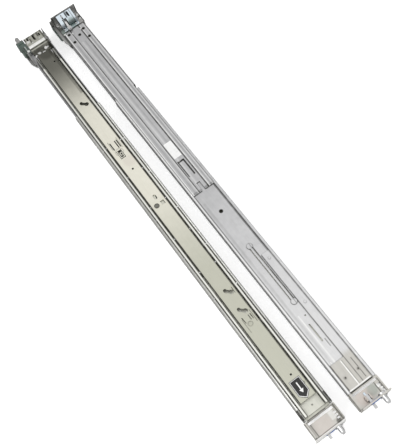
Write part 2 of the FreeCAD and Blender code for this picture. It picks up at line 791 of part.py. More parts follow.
def ears(body, sign, plate_face):
    """Two ears that carry a hook's pivot pin."""
    middle_y = -S.hook_drop
    reach = S.hook_sheet / 2 + S.ear_gap
    wide, overlap = 3.4, 0.2
    pivot = sign * S.hook_pivot_back
    ear = box_outline(pivot - wide, pivot + wide, hook_axis - wide, plate_face + overlap)
    for low in (middle_y + reach, middle_y - reach - S.ear_sheet):
        level, width = across(low, low + S.ear_sheet)
        pad(body, "XZ", level, width, [ear])
    level, width = across(middle_y - reach - S.ear_sheet - 1, middle_y + reach + S.ear_sheet + 1)
    hole = S.pin_diameter / 2 + HOLE_PLAY
    cut(body, "XZ", level + width, width, (), [(pivot, hook_axis, hole)])


def cut_front_openings(body, wall):
    """Tab notch, hook window, peg hole, cross slot, side perforations and rivet holes."""
    middle_y = -S.hook_drop
    tab_half = S.tab_width / 2 + 0.8
    tab_y = middle_y + S.tab_shift
    tab_foot = bar_bottom - S.tab_depth - 0.8
    tab_swing, hook_swing = 2.6, 2.8
    notch = box_outline(tab_y - tab_half, tab_y + tab_half, tab_foot, bar_bottom + tab_swing)
    window_half = S.hook_sheet / 2 + 0.7
    window = box_outline(middle_y - window_half, middle_y + window_half,
                         bar_bottom + tab_swing - 0.6, bar_top + hook_swing)
    cut(body, "YZ", 1, S.flange_sheet + 2, [notch])
    cut(body, "YZ", 1, S.flange_sheet + 2, [window])
    peg = S.peg_diameter / 2 + HOLE_PLAY
    cut(body, "YZ", 1, S.flange_sheet + 2, (), [(S.front_peg_rise, -S.front_peg_depth, peg)])
    slot_back = S.box_length - 0.6
    slot_y = wall - 2
    openings = [box_outline(front(slot_back), front(slot_back) + S.cross_slot, -slot_y, slot_y)]
    vent_back, vent_pitch, vent_width, vent_foot, vent_head = 16.4, 3.8, 2.2, 15.0, 18.4
    for index in range(3):
        x = front(vent_back) + index * vent_pitch
        openings.append(box_outline(x, x + vent_width, vent_foot, vent_head))
    cut(body, "XY", box_inner + 1, S.bracket_sheet + 2, openings)
    holes = rivet_holes(FRONT_RIVETS, -1)
    cut(body, "XY", plate_top + 1, S.bracket_sheet + 2, (), holes)


def peg(name, sign, y, z, reach, behind):
    """A round peg: a seat behind the flange, a collar and a tapered tip in front of it."""
    collar, tip = 1.6, 3.0
    radius = S.peg_diameter / 2
    back_radius, back = behind
    rounds = (
        ("seat", back_radius, back_radius, back, -S.flange_sheet - back),
        ("shank", radius, radius, S.flange_sheet, -S.flange_sheet),
        ("collar", S.peg_collar / 2, S.peg_collar / 2, Size.of(collar), Size.of(0)),
        ("body", radius, radius, reach - tip - collar, Size.of(collar)),
        ("tip", radius, radius / 2, Size.of(tip), reach - tip),
    )
    pieces = []
    for label, first, last, length, start in rounds:
        same = abs(first.value - last.value) < 1e-9
        piece = doc.addObject("Part::Cylinder" if same else "Part::Cone", name + "_" + label)
        if same:
            bind(piece, "Radius", first)
        else:
            bind(piece, "Radius1", first)
            bind(piece, "Radius2", last)
        bind(piece, "Height", length)
        turn = FreeCAD.Rotation(FreeCAD.Vector(0, 1, 0), 90 * sign)
        piece.Placement = FreeCAD.Placement(FreeCAD.Vector(), turn)
        bind(piece, ".Placement.Base.x", start * sign)
        bind(piece, ".Placement.Base.y", y)
        bind(piece, ".Placement.Base.z", z)
        pieces.append(piece)
    whole = doc.addObject("Part::MultiFuse", "right_" + name)
    whole.Shapes = pieces
    return whole


def front_peg():
    nut = (S.peg_collar / 2, Size.of(2.6))
    return peg("front_peg", 1, S.front_peg_rise, -S.front_peg_depth, S.front_peg_reach, nut)


def rear_peg():
    seat = (S.peg_diameter / 2, S.rear_peg_seat)
    return peg("rear_peg", -1, -S.rear_peg_drop, S.rear_peg_depth, S.rear_peg_reach, seat)


def hook_profile(sign, tail):
    """Side view of a hook: tail, bar through the flange and a ramped nose."""
    grip = sign * S.post_thickness
    nose = bar_bottom - S.hook_nose
    return [
        to(tail, bar_bottom),
        to(grip, bar_bottom),
        to(grip, nose),
        to(grip + sign * 1.8, nose),
        to(sign * S.hook_reach, bar_bottom + 1.2),
        to(sign * S.hook_reach, bar_top),
        to(tail, bar_top),
    ]


def front_hook():
    body = new_body("front_hook")
    middle_y = -S.hook_drop
    level, width = across(middle_y - S.hook_sheet / 2, middle_y + S.hook_sheet / 2)
    tail = front(S.hook_pivot_back + 4)
    pad(body, "XZ", level, width, [hook_profile(1, tail)])
    bore = S.pin_diameter / 2 + S.pin_play
    cut(body, "XZ", level + width + 1, width + 2, (), [(front(S.hook_pivot_back), hook_axis, bore)])
    return body


def release_tab():
    """Moulded cap under the thumb, fixed to the hook bar."""
    body = new_body("release_tab")
    middle_y = S.tab_shift - S.hook_drop
    low, high = middle_y - S.tab_width / 2, middle_y + S.tab_width / 2
    level, width = across(low, high)
    bottom = bar_bottom - S.tab_depth
    round_tip = 1.4
    profile = [
        to(front(S.tab_back), bar_bottom),
        to(front(S.tab_back), bottom),
        to(S.tab_front - round_tip, bottom),
        to(S.tab_front, bottom + round_tip, round_tip),
        to(S.tab_front, bar_bottom),
    ]
    pad(body, "XZ", level, width, [profile])
    groove = 0.5
    grip = []
    for index in range(4):
        y = low + S.tab_width * (index + 1) / 5
        grip.append(box_outline(y - groove, y + groove, bottom - 1, bottom + 0.6))
    cut(body, "YZ", S.tab_front + 1, S.tab_back + S.tab_front + 2, grip)
    return body


def hook_pin(name, sign):
    body = new_body(name)
    reach = S.hook_sheet / 2 + S.ear_gap + S.ear_sheet + 0.4
    level, width = across(-S.hook_drop - reach, -S.hook_drop + reach)
    centre = (sign * S.hook_pivot_back, hook_axis, S.pin_diameter / 2)
    pad(body, "XZ", level, width, (), [centre])
    return body


def front_hook_pin():
    return hook_pin("front_hook_pin", -1)


def rear_hook_pin():
    return hook_pin("rear_hook_pin", 1)


def front_hook_spring():
    """Leaf that pushes the hook out into the rack hole."""
    body = new_body("front_hook_spring")
    leaf = 0.5
    heel, knee, toe = front(17.2), front(13.0), front(3.6)
    touch = bar_top + 0.15
    level, width = across(-S.hook_drop - 1.3, -S.hook_drop + 1.3)
    profile = [
        to(heel, box_outer), to(heel, box_outer - leaf), to(knee, box_outer - leaf),
        to(toe, touch), to(toe + 2.4, touch + 0.4), to(toe + 2.2, touch + 0.4 + leaf),
        to(toe, touch + leaf), to(knee + 0.2, box_outer),
    ]
    pad(body, "XZ", level, width, [profile])
    return body


# ---------------------------------------------------------------- rear arm and bracket
ARM_ROOT_HOLES = ((37.0, 12.6), (56.4, 12.6), (44.0, 1.5), (33.2, -12.2), (51.6, -12.2))


def rear_arm():
    body = new_body("rear_arm")
    corner = S.bend_radius
    wall = arm_half - S.arm_sheet
    channel = mirrored([
        to(0, S.arm_play),
        to(arm_half - corner, S.arm_play),
        to(arm_half, S.arm_play + corner, corner),
        to(arm_half, S.arm_flange_depth),
        to(wall, S.arm_flange_depth),
        to(wall, arm_top),
        to(0, arm_top),
    ])
    pad(body, "YZ", S.arm_start, arm_channel_end - S.arm_start, [channel])
    edge = bead_inner - S.arm_play
    strap = mirrored([
        to(0, S.arm_play),
        to(edge, S.arm_play),
        to(edge + S.bead_slope * S.arm_sheet / S.web_recess, arm_top),
        to(0, arm_top),
    ])
    pad(body, "YZ", arm_channel_end, S.arm_length - arm_channel_end, [strap])
    above = arm_top + 1
    through = S.arm_sheet + 2
    end = S.arm_length
    tongue = S.tongue_width / 2
    inner = tongue - S.tongue_cut
    x0 = end - S.tongue_back
    x1 = x0 + S.tongue_length
    u_cut = [
        to(x1, tongue), to(x0, tongue), to(x0, -tongue), to(x1, -tongue),
        to(x1, -inner), to(x0 + S.tongue_cut, -inner), to(x0 + S.tongue_cut, inner),
        to(x1, inner),
    ]
    fork = box_outline(end - S.fork_depth, end + 1, S.fork_width / -2, S.fork_width / 2)
    radius = S.arm_hole / 2
    holes = [(x, y, radius) for x, y in ARM_ROOT_HOLES]
    cut(body, "XY", above, through, [u_cut, fork], holes)
    corner_cut = box_outline(S.arm_start - 1, housing_end + 0.2, -arm_half - 1, -S.housing_top)
    cut(body, "XY", S.slide_depth, S.slide_depth + 1, [corner_cut])
    cut(body, "XY", above, through, (), rivet_holes(REAR_RIVETS + COVER_RIVETS, 1))
    rib_half = S.rib_groove / 2
    groove_start = S.rear_plate_length + 4
    ribs = [
        box_outline(groove_start, end + 1, centre - rib_half, centre + rib_half)
        for centre in (S.rib_upper, -S.rib_lower)
    ]
    cut(body, "XY", S.arm_play + S.rib_sink, S.rib_sink + 1, ribs)
    return body


def rear_bracket():
    body = new_body("rear_bracket")
    wall_in = arm_half + 0.1
    wall_out = wall_in + S.bracket_sheet
    level, width = across(-S.flange_foot, S.flange_top)
    profile = flange_profile(1, S.rear_plate_length, S.arm_play, rear_outer, S.flange_reach)
    pad(body, "XZ", level, width, [profile])
    end = S.rear_wall_length + S.rear_wall_taper
    ledge_y = wall_out + S.rear_ledge
    ledge = [
        to(S.bracket_bend, -wall_in + 2),
        to(S.bracket_bend, -ledge_y),
        to(S.rear_wall_length, -ledge_y),
        to(end, -wall_out + 0.4),
        to(end, -wall_in),
        to(S.rear_plate_length, -wall_in),
        to(S.rear_plate_length, -wall_in + 2),
    ]
    pad(body, "XY", rear_outer, S.bracket_sheet, [ledge])
    reach = S.side_wall_depth
    foot = rear_outer + 0.4
    start = housing_end + 1
    lower_wall = [
        to(start, foot), to(end, foot), to(end, reach / 2),
        to(S.rear_wall_length, reach), to(start, reach),
    ]
    upper_wall = box_outline(S.bracket_bend, S.rear_plate_length, foot, reach)
    for low, wall in ((wall_in, upper_wall), (-wall_out, lower_wall)):
        level, width = across(low, low + S.bracket_sheet)
        pad(body, "XZ", level, width, [wall])
    ear_low, ear_high = rear_outer - 10.8, S.rear_peg_depth + 5.6
    lower_ear = box_outline(-S.ear_foot, -S.housing_top - 0.1, ear_low, ear_high)
    pad(body, "YZ", 0, S.flange_sheet, [lower_ear])
    ears(body, 1, rear_outer)
    window_half = S.hook_sheet / 2 + 0.7
    window_low, window_high = bar_bottom - 4, bar_top + 2.8
    window = box_outline(-S.hook_drop - window_half, -S.hook_drop + window_half,
                         window_low, window_high)
    flange_cut = S.flange_sheet + 1
    cut(body, "YZ", S.flange_sheet + 0.5, flange_cut, [window])
    hole = S.peg_diameter / 2 + HOLE_PLAY
    cut(body, "YZ", S.flange_sheet + 0.5, flange_cut, (),
        [(-S.rear_peg_drop, S.rear_peg_depth, hole)])
    cut(body, "XY", S.arm_play + 1, S.bracket_sheet + 2, (), rivet_holes(REAR_RIVETS, 1))
    return body


def rear_end_cap():
    """Bright cover over the rear end, stepped down onto the arm."""
    body = new_body("rear_end_cap")
    sheet = S.cover_sheet
    top = S.cover_level
    foot = arm_top
    ramp_start, ramp_end, end = Size.of(23.0), Size.of(30.4), Size.of(40.0)
    level, width = across(1.0 - S.housing_top, arm_half - S.arm_sheet - 0.4)
    profile = [
        to(2.6, top), to(ramp_start - 0.6, top), to(ramp_end - 0.6, foot), to(end, foot),
        to(end, foot + sheet), to(ramp_end + 0.4, foot + sheet), to(ramp_start + 0.4, top + sheet),
        to(2.6, top + sheet),
    ]
    pad(body, "XZ", level, width, [profile])
    top_face = top + sheet + 1
    openings = [
        capsule(6.0, 2.0, 13.5, 2.0, 1.5),
        capsule(6.0, -8.0, 9.0, -8.0, 1.4),
        capsule(8.0, 12.5, 12.0, 12.5, 1.2),
    ]
    cut(body, "XY", top_face, sheet + 2, openings)
    cut(body, "XY", foot + sheet + 1, sheet + 2, (), rivet_holes(COVER_RIVETS, 1))
    return body


def rear_latch_housing():
    """Moulded block on the lower ledge that steadies the rear peg."""
    body = new_body("rear_latch_housing")
    low, high = -(arm_half + S.bracket_sheet + S.rear_ledge + 1.6), -(S.housing_top + 0.1)
    start, end = housing_start, housing_end
    round_end = 3.0
    outline = [
        to(start, low), to(end - round_end, low), to(end, low + round_end, round_end),
        to(end, high), to(start, high),
    ]
    height = S.housing_rise - S.arm_play
    pad(body, "XY", S.arm_play, height, [outline])
    seat_end = S.flange_sheet + S.rear_peg_seat
    radius = S.peg_diameter / 2 + HOLE_PLAY
    cut(body, "YZ", seat_end + 0.1, seat_end + 1, (),
        [(-S.rear_peg_drop, S.rear_peg_depth, radius)])
    slots = [
        box_outline(x, x + 1.2, low - 1, low + 1.2)
        for x in (start + 9, start + 12, start + 15, start + 18)
    ]
    cut(body, "XY", S.housing_rise + 1, height + 2, slots)
    dish = box_outline(start + 4, end - 5, low + 3.2, high - 1.6)
    cut(body, "XY", S.housing_rise, 0.8, [dish])
    return body


def rear_spring_plate():
    """Bright curved leaf over the rear hook, on two feet."""
    body = new_body("rear_spring_plate")
    sheet = S.leaf_sheet
    foot = rear_outer
    level, width = across(-14.0, 13.0)
    end = S.rear_plate_length - 0.4
    profile = [
        to(end, foot), to(18.6, foot), to(12.6, foot - 10.2, 10.2, -1), to(2.6, -16.0, 24.0, 1),
        to(2.4, -16.8), to(13.0, foot - 11.2, 24.8, -1), to(19.0, foot - sheet, 11.0, 1),
        to(end, foot - sheet),
    ]
    pad(body, "XZ", level, width, [profile])
    gap = S.hook_sheet / 2 + 1.8
    slot = box_outline(11.0, end + 1, -S.hook_drop - gap, -S.hook_drop + gap)
    cut(body, "XY", foot + 1, 14.0, [slot])
    cut(body, "XY", -9.0, 12.0, [capsule(5.0, -6.0, 9.6, -6.0, 1.3),
                                 capsule(5.0, 5.0, 10.0, 5.0, 1.5)])
    cut(body, "XY", foot + 1, S.leaf_sheet + 2, (), rivet_holes(REAR_RIVETS, 1))
    return body


def rear_hook():
    body = new_body("rear_hook")
    middle_y = -S.hook_drop
    level, width = across(middle_y - S.hook_sheet / 2, middle_y + S.hook_sheet / 2)
    grip = -S.post_thickness
    nose = bar_bottom - S.hook_nose
    thumb_end, thumb_start = S.rear_plate_length + 2.0, S.rear_plate_length - 7.0
    thumb_top = rear_outer - 1.2
    thumb_bottom = thumb_top - 3.2
    profile = [
        to(thumb_end, thumb_top), to(thumb_start, thumb_top), to(S.hook_pivot_back + 3, bar_top),
        to(-S.hook_reach, bar_top), to(-S.hook_reach, bar_bottom + 1.2), to(grip - 1.8, nose),
        to(grip, nose), to(grip, bar_bottom), to(S.hook_pivot_back + 5, bar_bottom),
        to(thumb_start + 2, thumb_bottom), to(thumb_end, thumb_bottom),
    ]
    pad(body, "XZ", level, width, [profile])
    bore = S.pin_diameter / 2 + S.pin_play
    cut(body, "XZ", level + width + 1, width + 2, (), [(S.hook_pivot_back, hook_axis, bore)])
    level, width = across(middle_y - 3.0, middle_y + 3.0)
    thumb = box_outline(thumb_start + 3, thumb_end, thumb_bottom, thumb_top)
    pad(body, "XZ", level, width, [thumb])
    return body


# ---------------------------------------------------------------- the pair
FRONT_NODES = (
    outer_channel,
    hold_strap,
    front_bracket,
    front_rivets,
    front_peg,
    front_hook_pin,
    front_hook_spring,
    front_hook,
    release_tab,
    middle_channel,
    inner_channel,
    outer_ball_cage,
    inner_ball_cage,
    slide_lock_lever,
    stud_lock_lever,
    retainer_clip,
)
REAR_NODES = (
    rear_arm,
    rear_bracket,
    rear_end_cap,
    rear_rivets,
    rear_latch_housing,
    rear_peg,
    rear_hook_pin,
    rear_spring_plate,
    rear_hook,
)


def build_right():
    """Every piece of the right rail, with the x of its own zero."""
    placed = [(make(), Size.of(0)) for make in FRONT_NODES]
    placed.append((lever_pin(0), Size.of(0)))
    placed.append((lever_pin(1), Size.of(0)))
    placed.append((ball_rows("outer_balls", S.outer_cage_back, S.outer_cage_length,
                             outer_ball_y), Size.of(0)))
    placed.append((ball_rows("inner_balls", S.inner_cage_back, S.inner_cage_length,
                             inner_ball_y), Size.of(0)))
    placed.extend((make(), -S.flange_span) for make in REAR_NODES)
    return placed


def place_pair(placed, middle):
    """Stand the right rail on its flanges and lay its mirror image beside it."""
    rise = S.flange_reach
    nodes = []
    for piece, zero in placed:
        bind(piece, ".Placement.Base.x", zero - middle[0])
        bind(piece, ".Placement.Base.y", Size.of(-middle[1]))
        bind(piece, ".Placement.Base.z", rise)
        nodes.append(piece)
    for piece, zero in placed:
        name = piece.Name.replace("right_", "left_", 1)
        twin = doc.getObject(name) or doc.addObject("Part::Mirroring", name)
        twin.Source = piece
        twin.Normal = FreeCAD.Vector(0, 0, 1)
        bind(twin, ".Base.z", (S.flange_reach + S.slide_depth) / 2)
        draw_out = S.left_draw if zero.value < 0 else Size.of(0)
        bind(twin, ".Placement.Base.x", S.pair_shift - draw_out)
        bind(twin, ".Placement.Base.y", S.pair_pitch)
        nodes.append(twin)
    doc.recompute()
    return nodes


def whole_box(nodes):
    box = FreeCAD.BoundBox()
    for node in nodes:
        box.add(node.Shape.optimalBoundingBox(False, False))
    return box


def check(nodes):
    for item in doc.Objects:
        if "Invalid" in item.State or "Error" in item.State:
            raise RuntimeError("%s: %s" % (item.Name, item.State))
    for node in nodes:
        if node.Shape.isNull() or not node.Shape.isValid() or not node.Shape.Solids:
            raise RuntimeError("%s has no valid solid" % node.Label)


def main():
    pieces = build_right()
    doc.recompute()
    nodes = place_pair(pieces, (0.0, 0.0))
    check(nodes)
    box = whole_box(nodes)
    nodes = place_pair(pieces, (box.Center.x, box.Center.y))
    check(nodes)
    os.makedirs("parts", exist_ok=True)
    for node in nodes:
        node.Shape.exportStep(os.path.join("parts", node.Label + ".step"))
    print("%d nodes, %d solids" % (len(nodes), sum(len(node.Shape.Solids) for node in nodes)))
    print("box", whole_box(nodes))


main()
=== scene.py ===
"""Finishes, small fittings, floor, light and camera for a pair of server rails."""

import math

import bmesh
import bpy
from bpy.props import FloatProperty, FloatVectorProperty, IntProperty, PointerProperty
from mathutils import Matrix, Vector


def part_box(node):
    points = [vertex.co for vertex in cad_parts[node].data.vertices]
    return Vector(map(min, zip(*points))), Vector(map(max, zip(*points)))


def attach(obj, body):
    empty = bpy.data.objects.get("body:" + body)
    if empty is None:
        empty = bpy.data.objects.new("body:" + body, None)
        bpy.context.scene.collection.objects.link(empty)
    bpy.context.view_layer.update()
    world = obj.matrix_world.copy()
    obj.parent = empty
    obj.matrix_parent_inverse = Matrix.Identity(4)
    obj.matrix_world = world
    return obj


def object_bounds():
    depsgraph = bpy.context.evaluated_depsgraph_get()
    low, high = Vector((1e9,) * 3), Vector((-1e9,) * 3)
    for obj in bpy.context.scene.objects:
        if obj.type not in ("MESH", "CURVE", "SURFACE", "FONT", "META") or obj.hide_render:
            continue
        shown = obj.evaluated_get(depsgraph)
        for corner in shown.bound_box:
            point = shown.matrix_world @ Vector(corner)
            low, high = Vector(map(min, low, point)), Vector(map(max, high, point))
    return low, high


bl_info = {
    "name": "Server Rail Pair",
    "version": (1, 0, 0),
    "blender": (4, 5, 0),
    "location": "View3D > Sidebar > Server Rails",
    "description": "Dresses a pair of telescoping server rails and sets up a studio",
    "category": "Object",
}

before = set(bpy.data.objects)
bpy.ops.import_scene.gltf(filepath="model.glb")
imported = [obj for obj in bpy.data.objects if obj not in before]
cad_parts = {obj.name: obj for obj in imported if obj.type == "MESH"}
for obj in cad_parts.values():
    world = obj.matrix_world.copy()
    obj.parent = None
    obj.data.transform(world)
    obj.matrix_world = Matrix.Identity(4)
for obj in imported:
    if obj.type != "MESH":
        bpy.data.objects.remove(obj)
CAD_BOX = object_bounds()
SIDES = ("right", "left")
MM = 0.001
WHITE = (1.0, 1.0, 1.0, 1.0)


# ---------------------------------------------------------------- places on a rail
class Rail:
    """Turns distances on one rail into places in the frame.

    x runs forward from the front flange, or from the rear flange; y is up in the rack;
    rise is measured from the outer face towards the server.
    """

    def __init__(self, side):
        self.side = side
        low, high = (Vector(corner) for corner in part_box(side + "_outer_channel"))
        self.middle = (low.y + high.y) / 2
        self.up = 1 if side == "right" else -1
        self.outer_face = low.z if side == "right" else high.z
        self.front = self.flange_edge("_front_bracket", 1)
        self.rear = self.flange_edge("_rear_bracket", 0)

    def flange_edge(self, node, corner):
        return Vector(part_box(self.side + node)[corner]).x

    def at(self, x, y, rise, rear=False):
        start = self.rear if rear else self.front
        return Vector((start + x * MM, self.middle + y * MM,
                       self.outer_face + self.up * rise * MM))


RAILS = {side: Rail(side) for side in SIDES}


# ---------------------------------------------------------------- settings
def colour_property(name, description, default):
    return FloatVectorProperty(name=name, description=description, default=default,
                               size=3, min=0.0, max=1.0, subtype="COLOR")


def length_property(name, description, default):
    return FloatProperty(name=name, description=description, default=default, min=0.0,
                         subtype="DISTANCE", unit="LENGTH", precision=5)


class FinishSettings(bpy.types.PropertyGroup):
    zinc: colour_property("Zinc", "Neutral plated sheet of channels and brackets",
                          (0.52, 0.52, 0.525))
    cream: colour_property("Warm zinc", "Yellowish plated sheet of the inner panel",
                           (0.82, 0.80, 0.70))
    dull: colour_property("Dull zinc", "Front half of the inner panel", (0.55, 0.55, 0.465))
    # Painted reflection: the lighter front of the left outer channel.
    pale: colour_property("Front reflection", "Front of the left outer channel", (0.80, 0.80, 0.80))
    band: colour_property("Grey band", "Mottled outer channel of the right rail",
                          (0.56, 0.56, 0.53))
    strip: colour_property("Pale strip", "Middle channel between its seams",
                           (0.68, 0.68, 0.61))
    # Painted dark reflection at the rear of the inner panel.
    film: colour_property("Dark reflection", "Painted dark reflection near the rear of the inner panel",
                          (0.095, 0.095, 0.08))
    rear: colour_property("Rear bracket", "Greyer sheet of the rear brackets",
                          (0.42, 0.42, 0.41))
    cap: colour_property("End cover", "Sheet of the rear end covers", (0.50, 0.50, 0.44))
    plate: colour_property("Front plate", "Warmer sheet of the front brackets",
                           (0.60, 0.585, 0.545))
    bright: colour_property("Bright spring", "Bluish bright plated spring sheet",
                            (0.72, 0.80, 0.86))
    turned: colour_property("Turned steel", "Pegs, hooks, pins and rivets", (0.62, 0.62, 0.62))
    dark: colour_property("Dark steel", "Levers under the inner panel", (0.62, 0.62, 0.54))
    # The inner cage strip is kept dark as painted shade in the gap beside the inner panel.
    cage: colour_property("Cage strip", "Thin strip of the inner ball cages", (0.20, 0.20, 0.18))
    tab: colour_property("Release tab", "Moulded blue tab", (0.035, 0.13, 0.42))
    housing: colour_property("Peg housing", "Moulded grey-green block", (0.075, 0.105, 0.09))
    # Painted shade and grime: the dark colour of seams, gaps, holes, upright faces and crevices.
    shade_and_grime: colour_property("Shade and grime", "Painted shade and grime in seams and on cut edges", (0.022, 0.022, 0.017))
    # Painted highlight: the colour of the bright lines and glints.
    painted_highlight: colour_property("Painted highlight", "Painted highlights on edges and ridges", (0.93, 0.93, 0.91))
    blush: colour_property("Warm stain", "Pinkish cast on the floor of the front boxes",
                           (0.60, 0.52, 0.48))
    # Painted green reflection at the rear ends.
    green_reflection: colour_property("Green cast", "Greenish reflections at the rear ends",
                          (0.20, 0.27, 0.235))
    seam_shade: FloatProperty(name="Seam shade", description="How dark the seams are",
                              default=0.85, min=0.0, max=1.0)
    grain_size: length_property("Grain size", "Width of the rolling marks", 0.0006)
    spangle_size: length_property("Spangle size", "Width of one zinc crystal patch", 0.007)


class FittingSettings(bpy.types.PropertyGroup):
    label_length: length_property("Arrow label length", "Label on the inner panel", 0.0276)
    label_width: length_property("Arrow label width", "Label on the inner panel", 0.0155)
    sticker_length: length_property("Sticker length", "Bare sticker on the arm", 0.030)
    sticker_width: length_property("Sticker width", "Bare sticker on the arm", 0.0128)
    film_thickness: length_property("Film thickness", "Thickness of labels", 0.00012)
    head_width: length_property("Rivet head width", "Small rivets of brackets and cap", 0.0034)
    head_height: length_property("Rivet head height", "Small rivets of brackets and cap",
                                 0.0008)
    dimple_width: length_property("Dimple width", "Crimp dimples along the beads", 0.0022)
    dimple_height: length_property("Dimple height", "Crimp dimples along the beads", 0.0003)
    dimple_count: IntProperty(name="Dimples", description="Crimp dimples along one bead",
                              default=7, min=2, max=40)


class StudioSettings(bpy.types.PropertyGroup):
    azimuth: FloatProperty(name="Azimuth", description="Heading of the view, 0 looks along +Y",
                           default=math.radians(72.1), subtype="ANGLE")
    elevation: FloatProperty(name="Elevation", description="Height of the view over the floor",
                             default=math.radians(65.6), subtype="ANGLE")
    roll: FloatProperty(name="Roll", description="Turn of the camera about its own axis",
                        default=math.radians(-18.68), subtype="ANGLE")
    distance: length_property("Distance", "Camera to the place that it looks at", 0.9784)
    aim: FloatVectorProperty(name="Aim", description="Place that the camera looks at",
                             default=(0.0591, 0.0029, 0.015), size=3, subtype="TRANSLATION")
    lens: FloatProperty(name="Lens", description="Focal length for a 36 mm wide picture",
                        default=63.45, min=10.0)
    floor_size: length_property("Floor size", "Width of the floor", 12.0)
    floor_glow: FloatProperty(name="Floor glow", description="Light that the camera sees in it",
                              default=0.44, min=0.0)
    sky: FloatProperty(name="Sky", description="Brightness of the room on matt surfaces",
                       default=0.72, min=0.0)
    key: FloatProperty(name="Key light", description="Power of the main soft light",
                       default=9.0, min=0.0, unit="POWER")


# ---------------------------------------------------------------- node helpers
def fill(tree, node, inputs):
    """Link or set the named inputs of a node."""
    for name, value in inputs.items():
        if isinstance(value, bpy.types.NodeSocket):
            tree.links.new(value, node.inputs[name])
        else:
            node.inputs[name].default_value = value
    return node


def add(tree, kind, inputs=None, **values):
    """A node with its properties set and its inputs linked or filled."""
    node = tree.nodes.new(kind)
    for name, value in values.items():
        setattr(node, name, value)
    return fill(tree, node, inputs or {})


def maths(tree, operation, first, second=0.0, clamp=False):
    return add(tree, "ShaderNodeMath", {0: first, 1: second}, operation=operation,
               use_clamp=clamp).outputs[0]


def times(tree, first, second, clamp=False):
    return maths(tree, "MULTIPLY", first, second, clamp)


def plus(tree, first, second, clamp=False):
    return maths(tree, "ADD", first, second, clamp)


def minus(tree, first, second):
    return maths(tree, "SUBTRACT", first, second)


def ramp(tree, factor, low, high, start=0.0, end=1.0):
    """A smooth step from one value to another while the factor goes from low to high."""
    return add(tree, "ShaderNodeMapRange", {"Value": factor, "From Min": low, "From Max": high,
                                            "To Min": start, "To Max": end},
               interpolation_type="SMOOTHSTEP").outputs[0]


def fade(tree, value, middle, half, softness):
    """1 within half a width of the middle, falling to 0 over a soft edge."""
    away = maths(tree, "ABSOLUTE", minus(tree, value, middle))
    return ramp(tree, away, half, plus(tree, half, softness), 1.0, 0.0)


def noise(tree, place, scale, detail=2.0, roughness=0.5):
    return add(tree, "ShaderNodeTexNoise", {"Vector": place, "Scale": scale, "Detail": detail,
                                            "Roughness": roughness}).outputs["Fac"]


def part(tree, vector, axis):
    return add(tree, "ShaderNodeSeparateXYZ", {"Vector": vector}).outputs[axis]


def toned(tree, colour, value, saturation=1.0):
    """A lighter or darker shade of a colour."""
    return add(tree, "ShaderNodeHueSaturation", {"Color": colour, "Value": value,
                                                 "Saturation": saturation}).outputs[0]


def mix_colour(tree, factor, first, second):
    return add(tree, "ShaderNodeMix", {0: factor, 6: first, 7: second},
               data_type="RGBA").outputs[2]


def bumped(tree, height, strength, depth):
    return add(tree, "ShaderNodeBump", {"Height": height, "Strength": strength,
                                        "Distance": depth}).outputs[0]


def paint(colour):
    return (*colour, 1.0)


def lay(tree, mask, amount, shown, colour):
    """Lay a colour over the shown one where a mask allows it."""
    return mix_colour(tree, times(tree, mask, amount), shown, paint(colour))


def new_group(name, inputs, outputs=(("Mask", "Float"),)):
    """A shader node group with named sockets, and the sockets that it reads."""
    group = bpy.data.node_groups.new(name, "ShaderNodeTree")
    for label, kind, value in inputs:
        socket = group.interface.new_socket(name=label, in_out="INPUT",
                                            socket_type="NodeSocket" + kind)
        if value is not None:
            socket.default_value = value
    for label, kind in outputs:
        group.interface.new_socket(name=label, in_out="OUTPUT",
                                   socket_type="NodeSocket" + kind)
    return group, group.nodes.new("NodeGroupInput").outputs


def rolled_sheet_group(name):
    """Rolling marks along the rail, cloudy plating and fine pitting."""
    group, given = new_group(name, (
        ("Vector", "Vector", None), ("Colour", "Color", (0.5, 0.5, 0.5, 1.0)),
        ("Grain size", "Float", 0.0006), ("Spangle size", "Float", 0.007),
        ("Cloud", "Float", 0.12), ("Gloss", "Float", 0.34),
    ), (("Colour", "Color"), ("Roughness", "Float"), ("Height", "Float")))
    place = given["Vector"]
    grain_scale = maths(group, "DIVIDE", 1.0, given["Grain size"])
    spangle_scale = maths(group, "DIVIDE", 1.0, given["Spangle size"])
    along = add(group, "ShaderNodeMapping", {"Vector": place, "Scale": (0.02, 1.0, 1.0)})
    grain = noise(group, along.outputs[0], grain_scale, detail=3.0, roughness=0.6)
    patch = add(group, "ShaderNodeTexVoronoi", {
        "Vector": place, "Scale": spangle_scale, "Randomness": 1.0, "Smoothness": 0.6},
        feature="SMOOTH_F1")
    cloud = ramp(group, noise(group, place, 26.0, detail=4.0, roughness=0.55), 0.3, 0.7)
    spangle = ramp(group, patch.outputs["Distance"], 0.1, 0.8)
    pits = noise(group, place, 1500.0)
    streak = times(group, minus(group, grain, 0.5), 1.6)
    uneven = plus(group, plus(group, times(group, cloud, 0.6), times(group, spangle, 0.4)),
                  streak)
    colour = mix_colour(group, times(group, uneven, given["Cloud"], clamp=True),
                        given["Colour"], toned(group, given["Colour"], 0.35, saturation=1.1))
    add(group, "NodeGroupOutput", {
        "Colour": colour,
        "Roughness": plus(group, given["Gloss"], times(group, uneven, 0.16), clamp=True),
        "Height": plus(group, times(group, grain, 0.7), times(group, pits, 0.3))})
    return group


